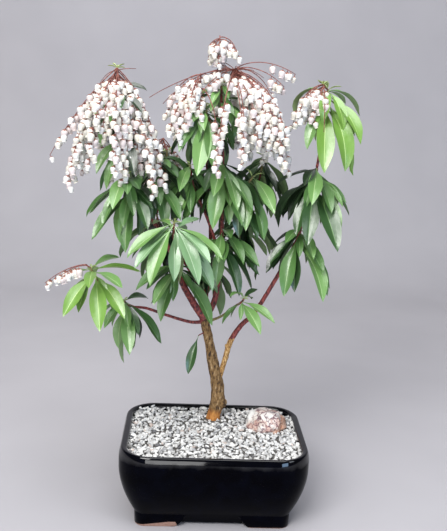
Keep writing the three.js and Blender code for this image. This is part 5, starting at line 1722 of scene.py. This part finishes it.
panicles = [name for name, entry in GROWTH.items() if "racemes" in entry]
stalk_piece = make_object("blossom_stalks", stalks, [rachis_red], shift=PLANT_SHIFT)
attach(stalk_piece, "root")
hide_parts(*panicles)

# Floor, light and camera
# A plain pale studio floor that runs up behind, lit softly from the left and more coolly from the right, by
# two low lamps in front that show in the glaze and one overhead, and the camera of the photograph.

FLOOR_SIDE = 3000
FLOOR_DEPTHS = (-2500, 900)
FLOOR_ROWS = 8
SWEEP_ROWS = 10
SWEEP_RADIUS = 500
SWEEP_START = 0.15
WALL_TOP = 2600
SKY_STRENGTH = 0.06
CAMERA_PLACE = np.array([-38.0, -806.6, 449.2])
CAMERA_RIGHT = (0.9982, -0.0396, 0.046)
CAMERA_UP = (-0.0365, 0.2149, 0.976)
CAMERA_AHEAD = (0.0486, 0.9758, -0.213)
FOCAL_LENGTH_IN_PIXELS = 779
PICTURE_HEIGHT_IN_PIXELS = 531
SENSOR = 36

floor_rows = [(y, 0.0) for y in np.linspace(*FLOOR_DEPTHS, FLOOR_ROWS)]
for turn in np.linspace(SWEEP_START, math.pi / 2, SWEEP_ROWS):
    behind = FLOOR_DEPTHS[1] + SWEEP_RADIUS * math.sin(turn)
    floor_rows.append((behind, SWEEP_RADIUS - SWEEP_RADIUS * math.cos(turn)))
floor_rows.append((FLOOR_DEPTHS[1] + SWEEP_RADIUS, WALL_TOP))
floor_points = [(x, y, z) for y, z in floor_rows for x in (-FLOOR_SIDE, FLOOR_SIDE)]
floor_faces = [(2 * row, 2 * row + 1, 2 * row + 3, 2 * row + 2) for row in range(len(floor_rows) - 1)]
pale_floor = Finish("pale_floor", (0.45, 0.44, 0.47), 0.8)
pale_floor.speckle(pale_floor.grain(6.0, 2.0), [(0.3, (0.43, 0.42, 0.45)), (0.7, (0.46, 0.45, 0.48))])
floor = make_object("studio_floor", Pile().add(floor_points, floor_faces), [pale_floor])


def soft_light(name, place, aim, size, power, color):
    """A large oblong lamp at a place in metres, aimed at another."""
    lamp = bpy.data.lights.new(name, "AREA")
    lamp.shape = "RECTANGLE"
    lamp.size, lamp.size_y = size
    lamp.energy = power
    lamp.color = color
    made = bpy.data.objects.new(name, lamp)
    made.location = place
    made.rotation_euler = (Vector(aim) - Vector(place)).to_track_quat("-Z", "Y").to_euler()
    bpy.context.scene.collection.objects.link(made)


soft_light("window_left", (-0.8, -1.5, 1.6), (0, 0, 0.28), (1.1, 1.1), 46, (1.0, 0.99, 0.97))
soft_light("window_right", (1.5, -1.2, 0.9), (0, 0, 0.2), (0.6, 0.9), 7, (0.86, 0.92, 1.0))
soft_light("front_left", (-0.30, -1.6, 0.30), (0, 0, 0.08), (0.72, 0.46), 5.0, (1.0, 1.0, 1.0))
soft_light("front_right", (0.80, -1.5, 0.26), (0.09, 0, 0.08), (0.56, 0.40), 5.2, (0.45, 0.68, 1.0))
soft_light("overhead", (0.0, -0.35, 2.0), (0, 0, 0.3), (1.6, 1.4), 34, (1.0, 1.0, 1.0))

world = bpy.data.worlds.new("studio")
bpy.context.scene.world = world
bpy.context.scene.view_settings.view_transform = "Standard"
world.use_nodes = True
background = world.node_tree.nodes["Background"]
background.inputs["Color"].default_value = (0.9, 0.92, 1.0, 1.0)
background.inputs["Strength"].default_value = SKY_STRENGTH

camera_data = bpy.data.cameras.new("photo_view")
camera_data.lens = SENSOR * FOCAL_LENGTH_IN_PIXELS / PICTURE_HEIGHT_IN_PIXELS
camera_data.sensor_width = SENSOR
camera = bpy.data.objects.new("photo_view", camera_data)
turned = Matrix((CAMERA_RIGHT, CAMERA_UP, [-value for value in CAMERA_AHEAD])).transposed()
camera.matrix_world = Matrix.Translation((CAMERA_PLACE + PLANT_SHIFT) * MM) @ turned.to_4x4()
bpy.context.scene.collection.objects.link(camera)
bpy.context.scene.camera = camera
